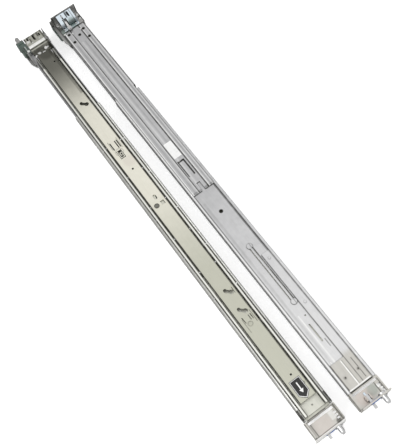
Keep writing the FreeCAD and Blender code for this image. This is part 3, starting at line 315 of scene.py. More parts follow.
def handling_group(name):
    """Fine scratches and specks left by handling, as a mask."""
    group, given = new_group(name, (("Vector", "Vector", None),
                                    ("Scratch scale", "Float", 90.0),
                                    ("Amount", "Float", 0.5)))
    total = ramp(group, noise(group, given["Vector"], 520.0), 0.70, 0.76)
    for angle, shift in ((0.5, 0.0), (-0.9, 3.1), (1.5, 7.7)):
        turned = add(group, "ShaderNodeMapping", {
            "Vector": given["Vector"], "Rotation": (0.0, 0.0, angle),
            "Location": (shift, shift, 0.0), "Scale": (0.06, 1.0, 1.0)})
        scratch = noise(group, turned.outputs[0], given["Scratch scale"], detail=6.0,
                        roughness=0.75)
        total = maths(group, "MAXIMUM", total, ramp(group, scratch, 0.66, 0.72))
    add(group, "NodeGroupOutput", {"Mask": times(group, total, given["Amount"], clamp=True)})
    return group


def seam_group(name):
    """A line along the rail between two ends, with soft and slightly uneven edges."""
    group, given = new_group(name, (
        ("Vector", "Vector", None), ("Middle", "Float", 0.0), ("Half width", "Float", 0.001),
        ("Softness", "Float", 0.0005), ("Start", "Float", -1.0), ("End", "Float", 1.0)))
    place, soft = given["Vector"], given["Softness"]
    centre = times(group, plus(group, given["End"], given["Start"]), 0.5)
    reach = times(group, minus(group, given["End"], given["Start"]), 0.5)
    across = fade(group, part(group, place, "Y"), given["Middle"], given["Half width"], soft)
    within = fade(group, part(group, place, "X"), centre, reach, soft)
    patchy = ramp(group, noise(group, place, 140.0, detail=3.0), 0.3, 0.6, 0.72, 1.0)
    add(group, "NodeGroupOutput", {
        "Mask": times(group, times(group, across, within), patchy)})
    return group


def ring_group(name):
    """A ring or, with no radius, a disc that goes straight through the sheet."""
    group, given = new_group(name, (
        ("Vector", "Vector", None), ("Centre", "Vector", None), ("Radius", "Float", 0.0),
        ("Half width", "Float", 0.001), ("Softness", "Float", 0.0005)))
    offset = given["Vector"]
    for operation, other in (("SUBTRACT", given["Centre"]), ("MULTIPLY", (1.0, 1.0, 0.0))):
        offset = add(group, "ShaderNodeVectorMath", {0: offset, 1: other},
                     operation=operation).outputs[0]
    distance = add(group, "ShaderNodeVectorMath", {0: offset}, operation="LENGTH")
    add(group, "NodeGroupOutput", {
        "Mask": fade(group, distance.outputs["Value"], given["Radius"], given["Half width"],
                     given["Softness"])})
    return group


def upright_shade_group(name):
    """Upright faces, where the sheet was cut or bent down, as a mask for painted shade."""
    group, given = new_group(name, (("Normal", "Vector", None),))
    flatness = maths(group, "ABSOLUTE", part(group, given["Normal"], "Z"))
    add(group, "NodeGroupOutput", {"Mask": ramp(group, flatness, 0.25, 0.75, 1.0, 0.0)})
    return group


def crevice_shade_group(name):
    """Painted shade where two pieces or two faces come close, from ambient occlusion, as a mask.
    """
    group, given = new_group(name, (("Reach", "Float", 0.002),))
    open_sky = add(group, "ShaderNodeAmbientOcclusion", {"Distance": given["Reach"]},
                   samples=8)
    add(group, "NodeGroupOutput", {
        "Mask": ramp(group, open_sky.outputs["AO"], 0.35, 0.95, 1.0, 0.0)})
    return group


GROUPS = {"Rolled sheet": rolled_sheet_group, "Handling marks": handling_group,
          "Seam line": seam_group, "Ring mark": ring_group, "Upright face shade": upright_shade_group,
          "Crevice shade": crevice_shade_group}


def use_group(tree, name, inputs=None):
    """The outputs of a node group, which is built the first time."""
    group = bpy.data.node_groups.get(name) or GROUPS[name](name)
    return add(tree, "ShaderNodeGroup", inputs, node_tree=group).outputs


def start_material(name):
    material = bpy.data.materials.new(name)
    material.use_nodes = True
    tree = material.node_tree
    place = tree.nodes.new("ShaderNodeTexCoord").outputs["Object"]
    return material, tree, tree.nodes["Principled BSDF"], place


# ---------------------------------------------------------------- lines and marks
class Mark:
    """A seam line or a ring on a finish, in millimetres along and across a rail."""

    def __init__(self, kind, sizes, amount, soft, tone):
        self.kind, self.sizes = kind, sizes
        self.amount, self.soft, self.tone = amount, soft, tone

    def mask(self, tree, place, rail, rear):
        softness = self.soft * MM
        if self.kind == "seam":
            y, half, start, end = self.sizes
            first, last = rail.at(start, y, 0, rear), rail.at(end, y, 0, rear)
            outputs = use_group(tree, "Seam line", {
                "Vector": place, "Middle": first.y, "Half width": half * MM,
                "Softness": softness, "Start": first.x, "End": last.x})
        else:
            x, y, radius, half = self.sizes
            outputs = use_group(tree, "Ring mark", {
                "Vector": place, "Centre": rail.at(x, y, 0, rear), "Radius": radius * MM,
                "Half width": half * MM, "Softness": softness})
        return outputs["Mask"]


def seam(y, half, start, end, amount=None, soft=0.5, tone="shade_and_grime"):
    """A line along the rail: its place across, half width, ends, strength and soft edge."""
    return Mark("seam", (y, half, start, end), amount, soft, tone)


def highlight_line(*sizes):
    """A painted highlight along the rail."""
    return seam(*sizes, tone="painted_highlight")


def both(y, *sizes, **more):
    """The same line on either side of the rail's middle."""
    return [seam(y, *sizes, **more), seam(-y, *sizes, **more)]


def ring(x, y, radius, half, amount=None, soft=0.4, tone="shade_and_grime"):
    return Mark("ring", (x, y, radius, half), amount, soft, tone)


def dot(x, y, radius, amount=None, soft=0.5, tone="shade_and_grime"):
    """A round spot: its place along and across, radius, strength and soft edge."""
    return ring(x, y, 0.0, radius, amount, soft, tone)


def glint(*sizes):
    """A round painted highlight."""
    return dot(*sizes, tone="painted_highlight")


def draw_marks(tree, place, shown, lines, side, rear):
    """Lay each line and ring over the colour."""
    settings = bpy.context.scene.rail_finish
    for line in lines:
        amount = settings.seam_shade if line.amount is None else line.amount
        shown = lay(tree, line.mask(tree, place, RAILS[side], rear), amount, shown,
                    getattr(settings, line.tone))
    return shown


FULL = (-800, 50)  # the whole length of a rail and more
ROOT_HOLES = ((37.0, 12.6), (56.4, 12.6), (44.0, 1.5), (33.2, -12.2), (51.6, -12.2))
# Painted shade lines, a painted highlight line and a painted glint on the peg housing.
HOUSING_LINES = [seam(-20.5, 0.5, 14, 40, 0.8), seam(-23.5, 0.4, 18, 34, 0.8),
    highlight_line(-18.0, 0.5, 14, 42, 0.4), seam(-26, 4, 21, 22.2, 0.8), seam(-24, 8, 30, 31, 0.7),
    glint(27, -17, 1.8, 0.6, 1.0)]
# Lines and marks of each sheet piece, by side; rear pieces count from the rear flange. The dark
# lines and spots are painted shade in gaps, recesses, cuts and holes, with some grime; the bright
# ones are painted highlights.
RIGHT_LINES = {
    "outer_channel": [*both(18.15, 0.2, *FULL, 0.5), *both(21.3, 0.2, *FULL, 0.4),
        *both(19.0, 0.3, *FULL, 0.25, tone="painted_highlight"), *both(20.4, 1.6, -41, -27, 0.95),
        seam(0, 17.6, -46, -20, 0.7, tone="dull")],
    "middle_channel": [*both(13.4, 0.4, *FULL, 0.95), *both(15.3, 0.5, *FULL, 0.6, tone="painted_highlight"),
        *both(15.0, 1.4, -760, -676, 0.7, 1.5)],
    "inner_channel": [*both(11.4, 0.35, *FULL, 0.75), ring(-371.0, -4.4, 3.2, 0.45, 0.8),
        dot(-371.0, -4.4, 1.1), ring(-476, 0.0, 6.0, 0.5, 0.3), dot(-441, 0.5, 1.2),
        seam(8.2, 0.5, -500, -480, 0.35), seam(-6.2, 0.4, -500, -484, 0.4),
        dot(-700, 3.0, 8.0, 0.45, 9.0), seam(9.6, 1.0, -706, -600, 0.4, 2.0),
        dot(-455, 4.0, 6.0, 0.25, 6.0, tone="blush"), seam(8.9, 0.3, -176, -158, 0.6),
        seam(-6.4, 0.3, -170, -150, 0.5), ring(-63, 7.5, 1.4, 0.4, 0.5), dot(-49.5, 0.6, 1.3)],
    "front_bracket": [dot(-11, -4, 8.0, 0.35, 9.0, tone="blush"), dot(-4.5, 15.0, 2.0, 0.7, 2.4),
        dot(-8.5, 16.5, 1.6, 0.5, 1.6), seam(0, 23, -3.4, -2.9, 0.75, 0.4),
        seam(-3, 13, -25.5, -24.6, 0.7, 0.4), highlight_line(0, 23, -2.0, 0.8, 0.85, 0.4),
        seam(-16.2, 0.4, -24, -3, 0.6), seam(20.4, 0.8, -22, -4, 0.3),
        highlight_line(12.0, 2.5, -20, -10, 0.5, 2.0)],
    "rear_end_cap": [dot(3.0, -6.0, 3.0, 0.6), dot(5.0, 3.5, 2.6, 0.6),
        seam(9.5, 1.2, 1, 12, 0.75, 0.8), seam(-12.5, 1.0, 2, 10, 0.8),
        seam(3.0, 0.9, 7, 16, 0.7, 0.8), seam(-4.5, 0.9, 8, 18, 0.65),
        highlight_line(0, 20, 21.0, 24.4, 0.95, 0.8), seam(0, 20, 25.4, 26.4, 0.9),
        seam(0, 24, 28.5, 52, 0.85, 1.5), seam(16.5, 1.0, 0, 50, 0.8),
        seam(-16.5, 0.8, 0, 30, 0.7), glint(41, -13, 3.2, 0.9, 1.6), glint(33, 9, 2.0, 0.9, 1.2),
        glint(40, 3, 2.4, 0.9, 1.4), glint(36, -4, 1.7, 0.7, 1.2), glint(46, 11, 1.6, 0.7, 1.0),
        glint(12, -9, 2.2, 0.6, 1.2)],
    "rear_bracket": [seam(19.5, 0.6, 0, 50, 0.8), seam(-18, 0.8, 0, 60, 0.6),
        dot(4, 19, 3.0, 0.7, 1.5), glint(20, 21, 2.0, 0.5)],
    "rear_arm": [*both(18.9, 0.6, 0, 400, 0.55)],
}
LEFT_LINES = {
    "outer_channel": [seam(16.4, 1.0, *FULL, 0.62, 1.0), seam(-17.2, 0.4, *FULL, 0.62),
        seam(-20.9, 0.5, *FULL, 0.55), seam(20.9, 0.3, *FULL, 0.35), highlight_line(-19.2, 0.6, *FULL, 0.6),
        seam(-12.5, 0.6, -345, -60, 0.16, 2.0), dot(-322, 0, 2.9, 0.8),
        seam(-2.5, 0.4, -256, -158, 0.5), seam(2.4, 0.6, -256, -158, 0.8),
        ring(-256, 0, 4.3, 0.4, 0.22), ring(-159, 0, 4.3, 0.4, 0.22),
        seam(0.8, 0.5, -98, -86, 0.5), highlight_line(-12.6, 0.4, -70, -30, 0.6),
        highlight_line(-8.0, 0.5, -140, -66, 0.5, 1.0)],
    # painted shade seen through the hole in the outer channel
    "outer_ball_cage": [dot(-322, 0, 5.0, 1.0)],
    "front_bracket": [highlight_line(-2.0, 0.5, -64, -29, 0.95, 0.4), seam(-0.6, 0.3, -64, -29, 0.35),
        seam(4.6, 0.45, -236, -29, 0.6), seam(10.8, 0.3, -60, -31, 0.65),
        seam(16.2, 0.4, -236, -29, 0.5), seam(-16.4, 0.5, -66, -24, 0.65),
        highlight_line(-2, 17, -28.6, -27.2, 0.9, 0.4), seam(-1, 17, -26.8, -25.0, 0.9, 0.4),
        dot(-12, -7, 8.0, 0.5, 6.0, tone="blush"), dot(-14, 6, 5.0, 0.35, 4.0, tone="green_reflection"),
        seam(-21.4, 0.6, -26, 0, 0.7), seam(0, 24, -3.2, -2.6, 0.75), glint(-14, 15, 2.0, 0.9),
        glint(-9, 17, 1.8, 0.9), glint(-5, 18, 1.6, 0.9), seam(12.8, 0.4, -20, -6, 0.8),
        seam(19.2, 0.4, -22, -4, 0.7)],
    "front_rivets": [dot(-44, 9.5, 1.1, soft=0.3), dot(-44, -10.5, 1.1, soft=0.3)],
    "hold_strap": [seam(1.3, 0.3, -262, -150, 0.5), ring(-256, 0, 3.9, 0.35, 0.22),
        ring(-159, 0, 3.9, 0.35, 0.22)],
    # painted shade in the U-cut, along the ribs and in the root holes; painted highlights along
    # the ribs
    "rear_arm": [seam(4.5, 1.0, 335, 365, 0.95), seam(-4.4, 0.8, 335, 365, 0.6),
        seam(0, 5.2, 334.6, 336.6, 0.95), seam(0, 18, 390.5, 396, 0.4),
        seam(8.7, 0.9, 0, 400, 0.75), highlight_line(10.6, 0.5, 0, 400, 0.55),
        seam(13.6, 0.4, 60, 400, 0.35), highlight_line(16.4, 0.5, 0, 400, 0.3), seam(18.7, 0.7, 0, 400, 0.7),
        seam(2.0, 0.6, 60, 330, 0.16, 1.2), highlight_line(-2.4, 0.8, 60, 390, 0.25, 1.2),
        seam(-7.1, 0.6, 0, 400, 0.55), highlight_line(-8.6, 0.4, 0, 400, 0.4),
        seam(-12.4, 0.5, 60, 390, 0.2, 1.0), highlight_line(-16.6, 0.6, 0, 400, 0.8),
        seam(-18.3, 0.6, 0, 400, 0.75), *(dot(x, y, 2.4, 0.9) for x, y in ROOT_HOLES)],
    "rear_bracket": [seam(0, 28, 0.0, 1.0, 0.75), seam(21.2, 0.5, 0, 55),
        seam(-20.5, 0.8, 0, 55, 0.6), glint(7, 17, 3.0, 0.9, 1.6), dot(13, 18.5, 1.6, 0.8),
        glint(6, -17, 2.6, 0.9, 1.4), glint(11, -14.5, 1.8, 0.8, 1.2), dot(3, -12, 2.0, 0.7),
        dot(16, -18, 3.4, 0.5), dot(24, 2, 8.0, 0.8, 4.0, tone="green_reflection"),
        dot(24, -12, 6.0, 0.6, 3.0, tone="green_reflection")],
    "rear_spring_plate": [dot(6, 3, 2.2, 0.6, 2.0), seam(1.0, 0.8, 2, 12),
        seam(5.5, 0.7, 4, 12, 0.8), seam(-6.5, 1.2, 12, 22, 0.8, 1.5, tone="green_reflection"),
        dot(20, 4, 4.0, 0.65, 5.0, tone="green_reflection"), seam(9.5, 0.5, 0, 24, 0.6)],
}
LINES = {"right": RIGHT_LINES, "left": LEFT_LINES}


# ---------------------------------------------------------------- finishes
def sheet_metal(name, colour, side="right", gloss=0.34, cloud=0.22, metallic=0.92, marks=0.35,
                bump=0.12, tint=None, lines=(), rear=False, wall_shade=0.5, crevice_shade=0.85):
    """Plated sheet: rolled grain, cloudy zinc, light scratches, painted shade and grime in its
    seams, painted shade on its upright faces and in its crevices.
    """
    settings = bpy.context.scene.rail_finish
    material, tree, shader, place = start_material(name)
    base = paint(colour)
    if tint is not None:
        base = tint(tree, place, base)
    sheet = use_group(tree, "Rolled sheet", {
        "Vector": place, "Colour": base, "Grain size": settings.grain_size,
        "Spangle size": settings.spangle_size, "Cloud": cloud, "Gloss": gloss})
    scratches = use_group(tree, "Handling marks", {"Vector": place, "Amount": marks})["Mask"]
    shown = mix_colour(tree, scratches, sheet["Colour"],
                       toned(tree, sheet["Colour"], 1.35, saturation=0.7))
    shown = draw_marks(tree, place, shown, lines, side, rear)
    normal = tree.nodes.new("ShaderNodeTexCoord").outputs["Normal"]
    edges = use_group(tree, "Upright face shade", {"Normal": normal})["Mask"]
    # painted shade: upright faces darkened
    shown = lay(tree, edges, wall_shade, shown, settings.shade_and_grime)
    # painted shade: crevices darkened from ambient occlusion
    shown = lay(tree, use_group(tree, "Crevice shade")["Mask"], crevice_shade, shown, settings.shade_and_grime)
    rough = minus(tree, sheet["Roughness"], times(tree, scratches, 0.08))
    fill(tree, shader, {"Base Color": shown, "Roughness": rough, "Metallic": metallic,
                        "Normal": bumped(tree, sheet["Height"], bump, 0.00004)})
    return material


# Where the tone of a sheet changes, in metres from the front or the rear flange; the first three
# spans place painted reflections.
DULL_FROM_FRONT = (-0.43, -0.24)
DARK_REFLECTION_FROM_REAR = (0.075, 0.20)
PALE_FROM_FRONT = (-0.40, -0.06)
STRAP_FROM_FRONT = (-0.074, -0.064)


def change(tree, x, flange, span, start, end):
    """A value that changes along the rail, over a span that is measured from a flange."""
    return ramp(tree, x, flange + span[0], flange + span[1], start, end)


def rear_reflection_tint(tree, place, base):
    """Painted reflection: the rear of the inner panel is painted darker, fading forward, and the
    front half is painted a duller tone.
    """
    settings = bpy.context.scene.rail_finish
    drift = minus(tree, noise(tree, place, 30.0, detail=3.0), 0.5)
    x = plus(tree, part(tree, place, "X"), times(tree, drift, 0.02))
    duller = change(tree, x, RAILS["right"].front, DULL_FROM_FRONT, 0.0, 1.0)
    shown = mix_colour(tree, duller, base, paint(settings.dull))
    dark_reflection = change(tree, x, RAILS["right"].rear, DARK_REFLECTION_FROM_REAR, 0.9, 0.0)
    return mix_colour(tree, dark_reflection, shown, paint(settings.film))


def outer_reflection_tint(tree, place, base):
    """Painted reflection: the outer channel of the left rail is painted lighter towards the
    front.
    """
    amount = change(tree, part(tree, place, "X"), RAILS["left"].front, PALE_FROM_FRONT,
                    0.0, 0.75)
    return mix_colour(tree, amount, base, paint(bpy.context.scene.rail_finish.pale))


def strap_tint(tree, place, base):
    """The narrow strap behind each front plate is neutral, the plate itself is warmer."""
    neutral = outer_reflection_tint(tree, place, paint(bpy.context.scene.rail_finish.zinc))
    amount = change(tree, part(tree, place, "X"), RAILS["left"].front, STRAP_FROM_FRONT,
                    1.0, 0.0)
    return mix_colour(tree, amount, base, neutral)


def moulded(name, colour, side="right", roughness=0.42, lines=()):
    """Moulded plastic: fine spark-eroded skin with slight colour drift."""
    material, tree, shader, place = start_material(name)
    skin = noise(tree, place, 900.0, detail=3.0)
    drift = ramp(tree, noise(tree, place, 60.0), 0.35, 0.75, 0.0, 0.5)
    shown = mix_colour(tree, drift, paint(colour), toned(tree, paint(colour), 0.6))
    shown = draw_marks(tree, place, shown, lines, side, rear=True)
    rough = ramp(tree, skin, 0.3, 0.7, roughness - 0.06, roughness + 0.08)
    fill(tree, shader, {"Base Color": shown, "Roughness": rough,
                        "Normal": bumped(tree, skin, 0.25, 0.00005)})
    return material


def turned_steel(name, colour, roughness=0.26):
    """Turned or ground steel with fine rings across its axis."""
    material, tree, shader, place = start_material(name)
    rings = add(tree, "ShaderNodeTexWave", {"Vector": place, "Scale": 700.0, "Distortion": 1.5,
                                            "Detail": 2.0}, wave_type="BANDS",
                bands_direction="X")
    stain = noise(tree, place, 210.0, detail=4.0)
    shown = mix_colour(tree, ramp(tree, stain, 0.45, 0.75, 0.0, 0.6), paint(colour),
                       toned(tree, paint(colour), 0.55))
    rough = ramp(tree, stain, 0.3, 0.7, roughness, roughness + 0.14)
    fill(tree, shader, {"Base Color": shown, "Roughness": rough, "Metallic": 0.95,
                        "Normal": bumped(tree, rings.outputs["Fac"], 0.08, 0.00003)})
    return material


def printed_film(name, colour, roughness=0.5):
    """Printed or bare label film with a faint paper tooth."""
    material, tree, shader, place = start_material(name)
    tooth = noise(tree, place, 1200.0)
    worn = noise(tree, place, 170.0, detail=5.0)
    shown = mix_colour(tree, ramp(tree, worn, 0.5, 0.8, 0.0, 0.6), paint(colour),
                       toned(tree, paint(colour), 0.82))
    rough = ramp(tree, worn, 0.3, 0.7, roughness - 0.05, roughness + 0.1)
    fill(tree, shader, {"Base Color": shown, "Roughness": rough,
                        "Normal": bumped(tree, tooth, 0.1, 0.00003)})
    return material


PRINT_BLACK = (0.012, 0.012, 0.012)
FILM_WHITE = (0.86, 0.86, 0.85)
BRIGHT = {"gloss": 0.16, "cloud": 0.10, "metallic": 1.0, "marks": 0.2, "bump": 0.05}
STAINED = {"cloud": 0.5, "gloss": 0.3, "wall_shade": 0.3, "crevice_shade": 0.6}
# The colour of each large sheet piece and how it differs from plain plated sheet.
SHEETS = {
    "middle_channel": ("strip", {"wall_shade": 0.3, "crevice_shade": 0.35}),
    "inner_channel": ("cream", {"gloss": 0.30, "cloud": 0.14, "tint": rear_reflection_tint,
                                "wall_shade": 0.35}),
    "front_bracket": ("plate", {"tint": strap_tint, "wall_shade": 0.25}),
    "front_rivets": ("plate", {"tint": strap_tint, "wall_shade": 0.2, "crevice_shade": 0.4}),
    "outer_ball_cage": ("strip", {"cloud": 0.12, "wall_shade": 0.0, "crevice_shade": 0.1}),
    "rear_arm": ("zinc", {}),
    "rear_bracket": ("rear", STAINED),
    "rear_end_cap": ("cap", STAINED),
    "rear_spring_plate": ("bright", BRIGHT),
    "hold_strap": ("zinc", {"tint": outer_reflection_tint, "wall_shade": 0.4}),
}
OUTER_CHANNEL = {"right": ("band", {"cloud": 0.5, "wall_shade": 0.15, "crevice_shade": 0.4}),
                 "left": ("zinc", {"tint": outer_reflection_tint, "wall_shade": 0.35})}
# The other pieces, by the finish that both rails share.
PIECES = {
    "turned steel": ("front_peg", "front_hook_pin", "front_hook", "rear_rivets",
                     "rear_hook_pin", "rear_hook"),
    "bright spring": ("front_hook_spring",),
    "blue tab": ("release_tab",),
    "polished balls": ("outer_balls", "inner_balls"),
    "inner cage": ("inner_ball_cage", "slide_lock_pin"),
    "lever steel": ("slide_lock_lever", "stud_lock_lever"),
    "dull pin": ("stud_lock_pin",),
    "rear pin": ("rear_peg",),
    "panel clip": ("retainer_clip",),
}


def build_finishes():
    """Materials that both rails share, by name."""
    look = bpy.context.scene.rail_finish
    made = (
        sheet_metal("bright spring", look.bright, **BRIGHT),
        sheet_metal("lever steel", look.dark, cloud=0.2, marks=0.2, wall_shade=0.2, crevice_shade=0.1),
        # dark inner cage: painted shade in the panel gap
        sheet_metal("inner cage", look.cage, cloud=0.12),
        sheet_metal("panel clip", look.cream, cloud=0.12, wall_shade=0.3, crevice_shade=0.2),
        turned_steel("near-black steel", look.shade_and_grime),
        turned_steel("dull pin", look.dull),
        turned_steel("rear pin", look.rear),
        turned_steel("turned steel", look.turned),
        turned_steel("polished balls", look.turned, roughness=0.12),
        moulded("blue tab", look.tab, roughness=0.36),
        printed_film("black print", PRINT_BLACK),
        printed_film("white film", FILM_WHITE))
    return {material.name: material for material in made}


def sheet_finish(side, node):
    """The material of one large sheet piece, with its own lines and marks."""
    colour, options = OUTER_CHANNEL[side] if node == "outer_channel" else SHEETS[node]
    return sheet_metal(side + " " + node.replace("_", " "),
                       getattr(bpy.context.scene.rail_finish, colour), side=side,
                       lines=LINES[side].get(node, ()), rear=node.startswith("rear"),
                       **options)


# ---------------------------------------------------------------- mesh helpers
def new_object(name, data):
    """An object at the origin, linked into the scene."""
    thing = bpy.data.objects.new(name, data)
    bpy.context.scene.collection.objects.link(thing)
    return thing


def mesh_piece(name, mesh_data, material, body):
    """A finished piece: its place in its mesh, riding on a body."""
    piece = new_object(name, mesh_data)
    piece.data.materials.clear()
    piece.data.materials.append(bpy.data.materials[material])
    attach(piece, body)
    return piece


def slab(name, rail, outline, rise, thickness, rear=False):
    """A thin plate with the given outline, lying on one face of a rail.

    A positive thickness grows towards the server, a negative one away from it.
    """
    build = bmesh.new()
    lower = [build.verts.new(rail.at(x, y, rise, rear)) for x, y in outline]
    upper = [build.verts.new(rail.at(x, y, rise + thickness, rear)) for x, y in outline]
    build.faces.new(lower)
    build.faces.new(upper)
    count = len(outline)
    for index in range(count):
        following = (index + 1) % count
        build.faces.new((lower[index], lower[following], upper[following], upper[index]))
    bmesh.ops.recalc_face_normals(build, faces=build.faces)
    data = bpy.data.meshes.new(name)
    build.to_mesh(data)
    build.free()
    return data


# ---------------------------------------------------------------- repeated fittings
DOME_SOCKETS = (("Width", "Float"), ("Height", "Float"), ("Material", "Material"))


def new_tree(name, inputs):
    """A Geometry Nodes tree with named sockets, and the sockets that it reads."""
    tree = bpy.data.node_groups.new(name, "GeometryNodeTree")
    for label, kind in inputs + DOME_SOCKETS:
        tree.interface.new_socket(name=label, in_out="INPUT", socket_type="NodeSocket" + kind)
    tree.interface.new_socket(name="Geometry", in_out="OUTPUT",
                              socket_type="NodeSocketGeometry")
    return tree, tree.nodes.new("NodeGroupInput").outputs


def domes_tree():
    """A low dome on every point of the base mesh."""
    tree, given = new_tree("Domes on points", (("Points", "Geometry"),))
    scatter_domes(tree, given["Points"], given["Width"], given)
    return tree


def dimple_row_tree():
    """An even row of long shallow dimples between two places."""
    tree, given = new_tree("Row of dimples", (("Count", "Int"), ("First", "Vector"),
                                              ("Step", "Vector")))
    line = add(tree, "GeometryNodeMeshLine", {"Count": given["Count"], "Offset": given["Step"],
                                              "Start Location": given["First"]})
    scatter_domes(tree, line.outputs[0], times(tree, given["Width"], 2.6), given)
    return tree


def scatter_domes(tree, points, length, given):
    """Flattened balls on points, made real and given their material."""
    ball = add(tree, "GeometryNodeMeshUVSphere", {"Segments": 16, "Rings": 8, "Radius": 0.5})
    depth = times(tree, given["Height"], 2.0)
    size = add(tree, "ShaderNodeCombineXYZ", {"X": length, "Y": given["Width"], "Z": depth})
    low = add(tree, "GeometryNodeTransform", {"Geometry": ball.outputs["Mesh"],
                                              "Scale": size.outputs[0]})
    placed = add(tree, "GeometryNodeInstanceOnPoints", {"Points": points,
                                                        "Instance": low.outputs[0]})
    solid = add(tree, "GeometryNodeRealizeInstances", {"Geometry": placed.outputs[0]})
    painted = add(tree, "GeometryNodeSetMaterial", {"Geometry": solid.outputs[0],
                                                    "Material": given["Material"]})
    add(tree, "NodeGroupOutput", {"Geometry": painted.outputs[0]})


def grow(name, tree, base, values):
    """The plain mesh that a Geometry Nodes tree gives on a base mesh."""
    holder = new_object(name, base)
    modifier = holder.modifiers.new(name, "NODES")
    modifier.node_group = tree
    for item in tree.interface.items_tree:
        if item.in_out == "INPUT" and item.name in values:
            modifier[item.identifier] = values[item.name]
    grown = holder.evaluated_get(bpy.context.evaluated_depsgraph_get())
    data = bpy.data.meshes.new_from_object(grown)
    bpy.data.objects.remove(holder)
    data.name = name
    return data


# Heads on the rear end of each rail: name, places, rise, share of the full head's width
# and height, finish and slot.
HEADS = (
    # painted shade: the root screws are near-black so that they stand for the shade inside the
    # root holes
    ("root_screws", ROOT_HOLES, 0.7, (1.0, 1.0), "near-black steel", "dark_steel"),
    ("cover_heads", ((37.0, -11.0), (38.2, 2.0), (33.0, 13.0)), 2.7, (1.0, 1.0),
     "turned steel", "rivet_steel"),
    ("cover_screws", ((17.0, 9.0), (17.5, -3.5), (14.5, -11.5)), 10.8, (0.7, 0.8),
     "turned steel", "rivet_steel"),
    ("flange_heads", ((7.0, 17.5), (17.0, 18.0), (6.0, -17.0)), -1.2, (1.0, 1.0),
     "turned steel", "rivet_steel"),
)
BACKING_OUTLINE = ((3.0, -12.8), (21.0, -12.8), (21.0, 16.5), (3.0, 16.5))
BACKING_RISE, BACKING_THICKNESS = 9.0, 0.58
DIMPLE_ROW = (-520.0, -60.0)
BEADS = (("upper", 19.4), ("lower", -19.4))
BEAD_RISE = 0.05
ARROW_LABEL_START = -73.0
# How far the label's layers stay inside its outline, at the tail, shoulder, tip and sides.
NO_INSET, RIM_INSET, CORE_INSET = (0, 0, 0, 0), (0.6, 0.3, 0.9, 0.6), (1.2, 0.8, 2.04, 1.2)
# The arrow's tail lies ahead of the label's start, its neck and point behind the shoulder.
ARROW_TAIL, ARROW_NECK, ARROW_POINT, ARROW_SHAFT, ARROW_BARB = 5.0, 5.9, 1.2, 0.8, 2.9
STICKER_START, STICKER_MIDDLE = 298.0, 0.8
ARM_FACE_RISE = 0.2
# Name, place, width and share of the key light's power.
LAMPS = (("key", (0.55, -0.75, 1.25), 0.9, 1.0), ("fill", (-0.6, 0.9, 0.9), 0.8, 0.35))
FLOOR_GAP = 0.0002


# ---------------------------------------------------------------- operators
class RAIL_OT_finishes(bpy.types.Operator):
    """Give every piece of both rails its finish"""

    bl_idname = "rail.finishes"
    bl_label = "Finish the metal"

    def execute(self, context):
        finishes = build_finishes()
        for side in SIDES:
            chosen = {node: finishes[name] for name, nodes in PIECES.items() for node in nodes}
            for node in ("outer_channel", *SHEETS):
                chosen[node] = sheet_finish(side, node)
            chosen["rear_latch_housing"] = moulded(
                side + " housing", context.scene.rail_finish.housing, side=side,
                lines=HOUSING_LINES)
            for node, material in chosen.items():
                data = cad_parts[side + "_" + node].data
                data.materials.clear()
                data.materials.append(material)
        return {"FINISHED"}


class RAIL_OT_labels(bpy.types.Operator):
    """Stick a plain arrow on the inner panel and a bare sticker on the other rail's arm"""

    bl_idname = "rail.labels"
    bl_label = "Labels"

    def execute(self, context):
        self.arrow_label(context.scene.rail_fittings)
        self.bare_sticker(context.scene.rail_fittings)
        return {"FINISHED"}

    def arrow_label(self, sizes):
        rail = RAILS["right"]
        film = sizes.film_thickness / MM
        half = sizes.label_width / MM / 2
        panel_top = (Vector(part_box("right_inner_channel")[1]).z - rail.outer_face) / MM
        start = ARROW_LABEL_START
        tip = start + sizes.label_length / MM
        shoulder = tip - half * 0.9

        def pointed(inset):
            back, front = start + inset[0], shoulder - inset[1]
            point, side = tip - inset[2], half - inset[3]
            return ((back, -side), (front, -side), (point, 0.0), (front, side), (back, side))

        tail, neck, point = start + ARROW_TAIL, shoulder - ARROW_NECK, shoulder - ARROW_POINT
        arrow = ((tail, -ARROW_SHAFT), (neck, -ARROW_SHAFT), (neck, -ARROW_BARB), (point, 0.0),
                 (neck, ARROW_BARB), (neck, ARROW_SHAFT), (tail, ARROW_SHAFT))
        layers = (("ground", pointed(NO_INSET), "black print"),
                  ("rim", pointed(RIM_INSET), "white film"),
                  ("core", pointed(CORE_INSET), "black print"),
                  ("arrow", arrow, "white film"))
        for level, (name, outline, material) in enumerate(layers):
            name = "arrow_label_" + name
            data = slab(name, rail, outline, panel_top + film * level * 0.5, film)
            mesh_piece(name, data, material, "right_inner")

    def bare_sticker(self, sizes):
        film = sizes.film_thickness / MM
        end = STICKER_START + sizes.sticker_length / MM
        half = sizes.sticker_width / MM / 2
        low, high = STICKER_MIDDLE - half, STICKER_MIDDLE + half
        outline = ((STICKER_START, low), (end, low), (end, high), (STICKER_START, high))
        data = slab("arm_sticker", RAILS["left"], outline, ARM_FACE_RISE, -film, rear=True)
        mesh_piece("arm_sticker", data, "white film", "left_arm")


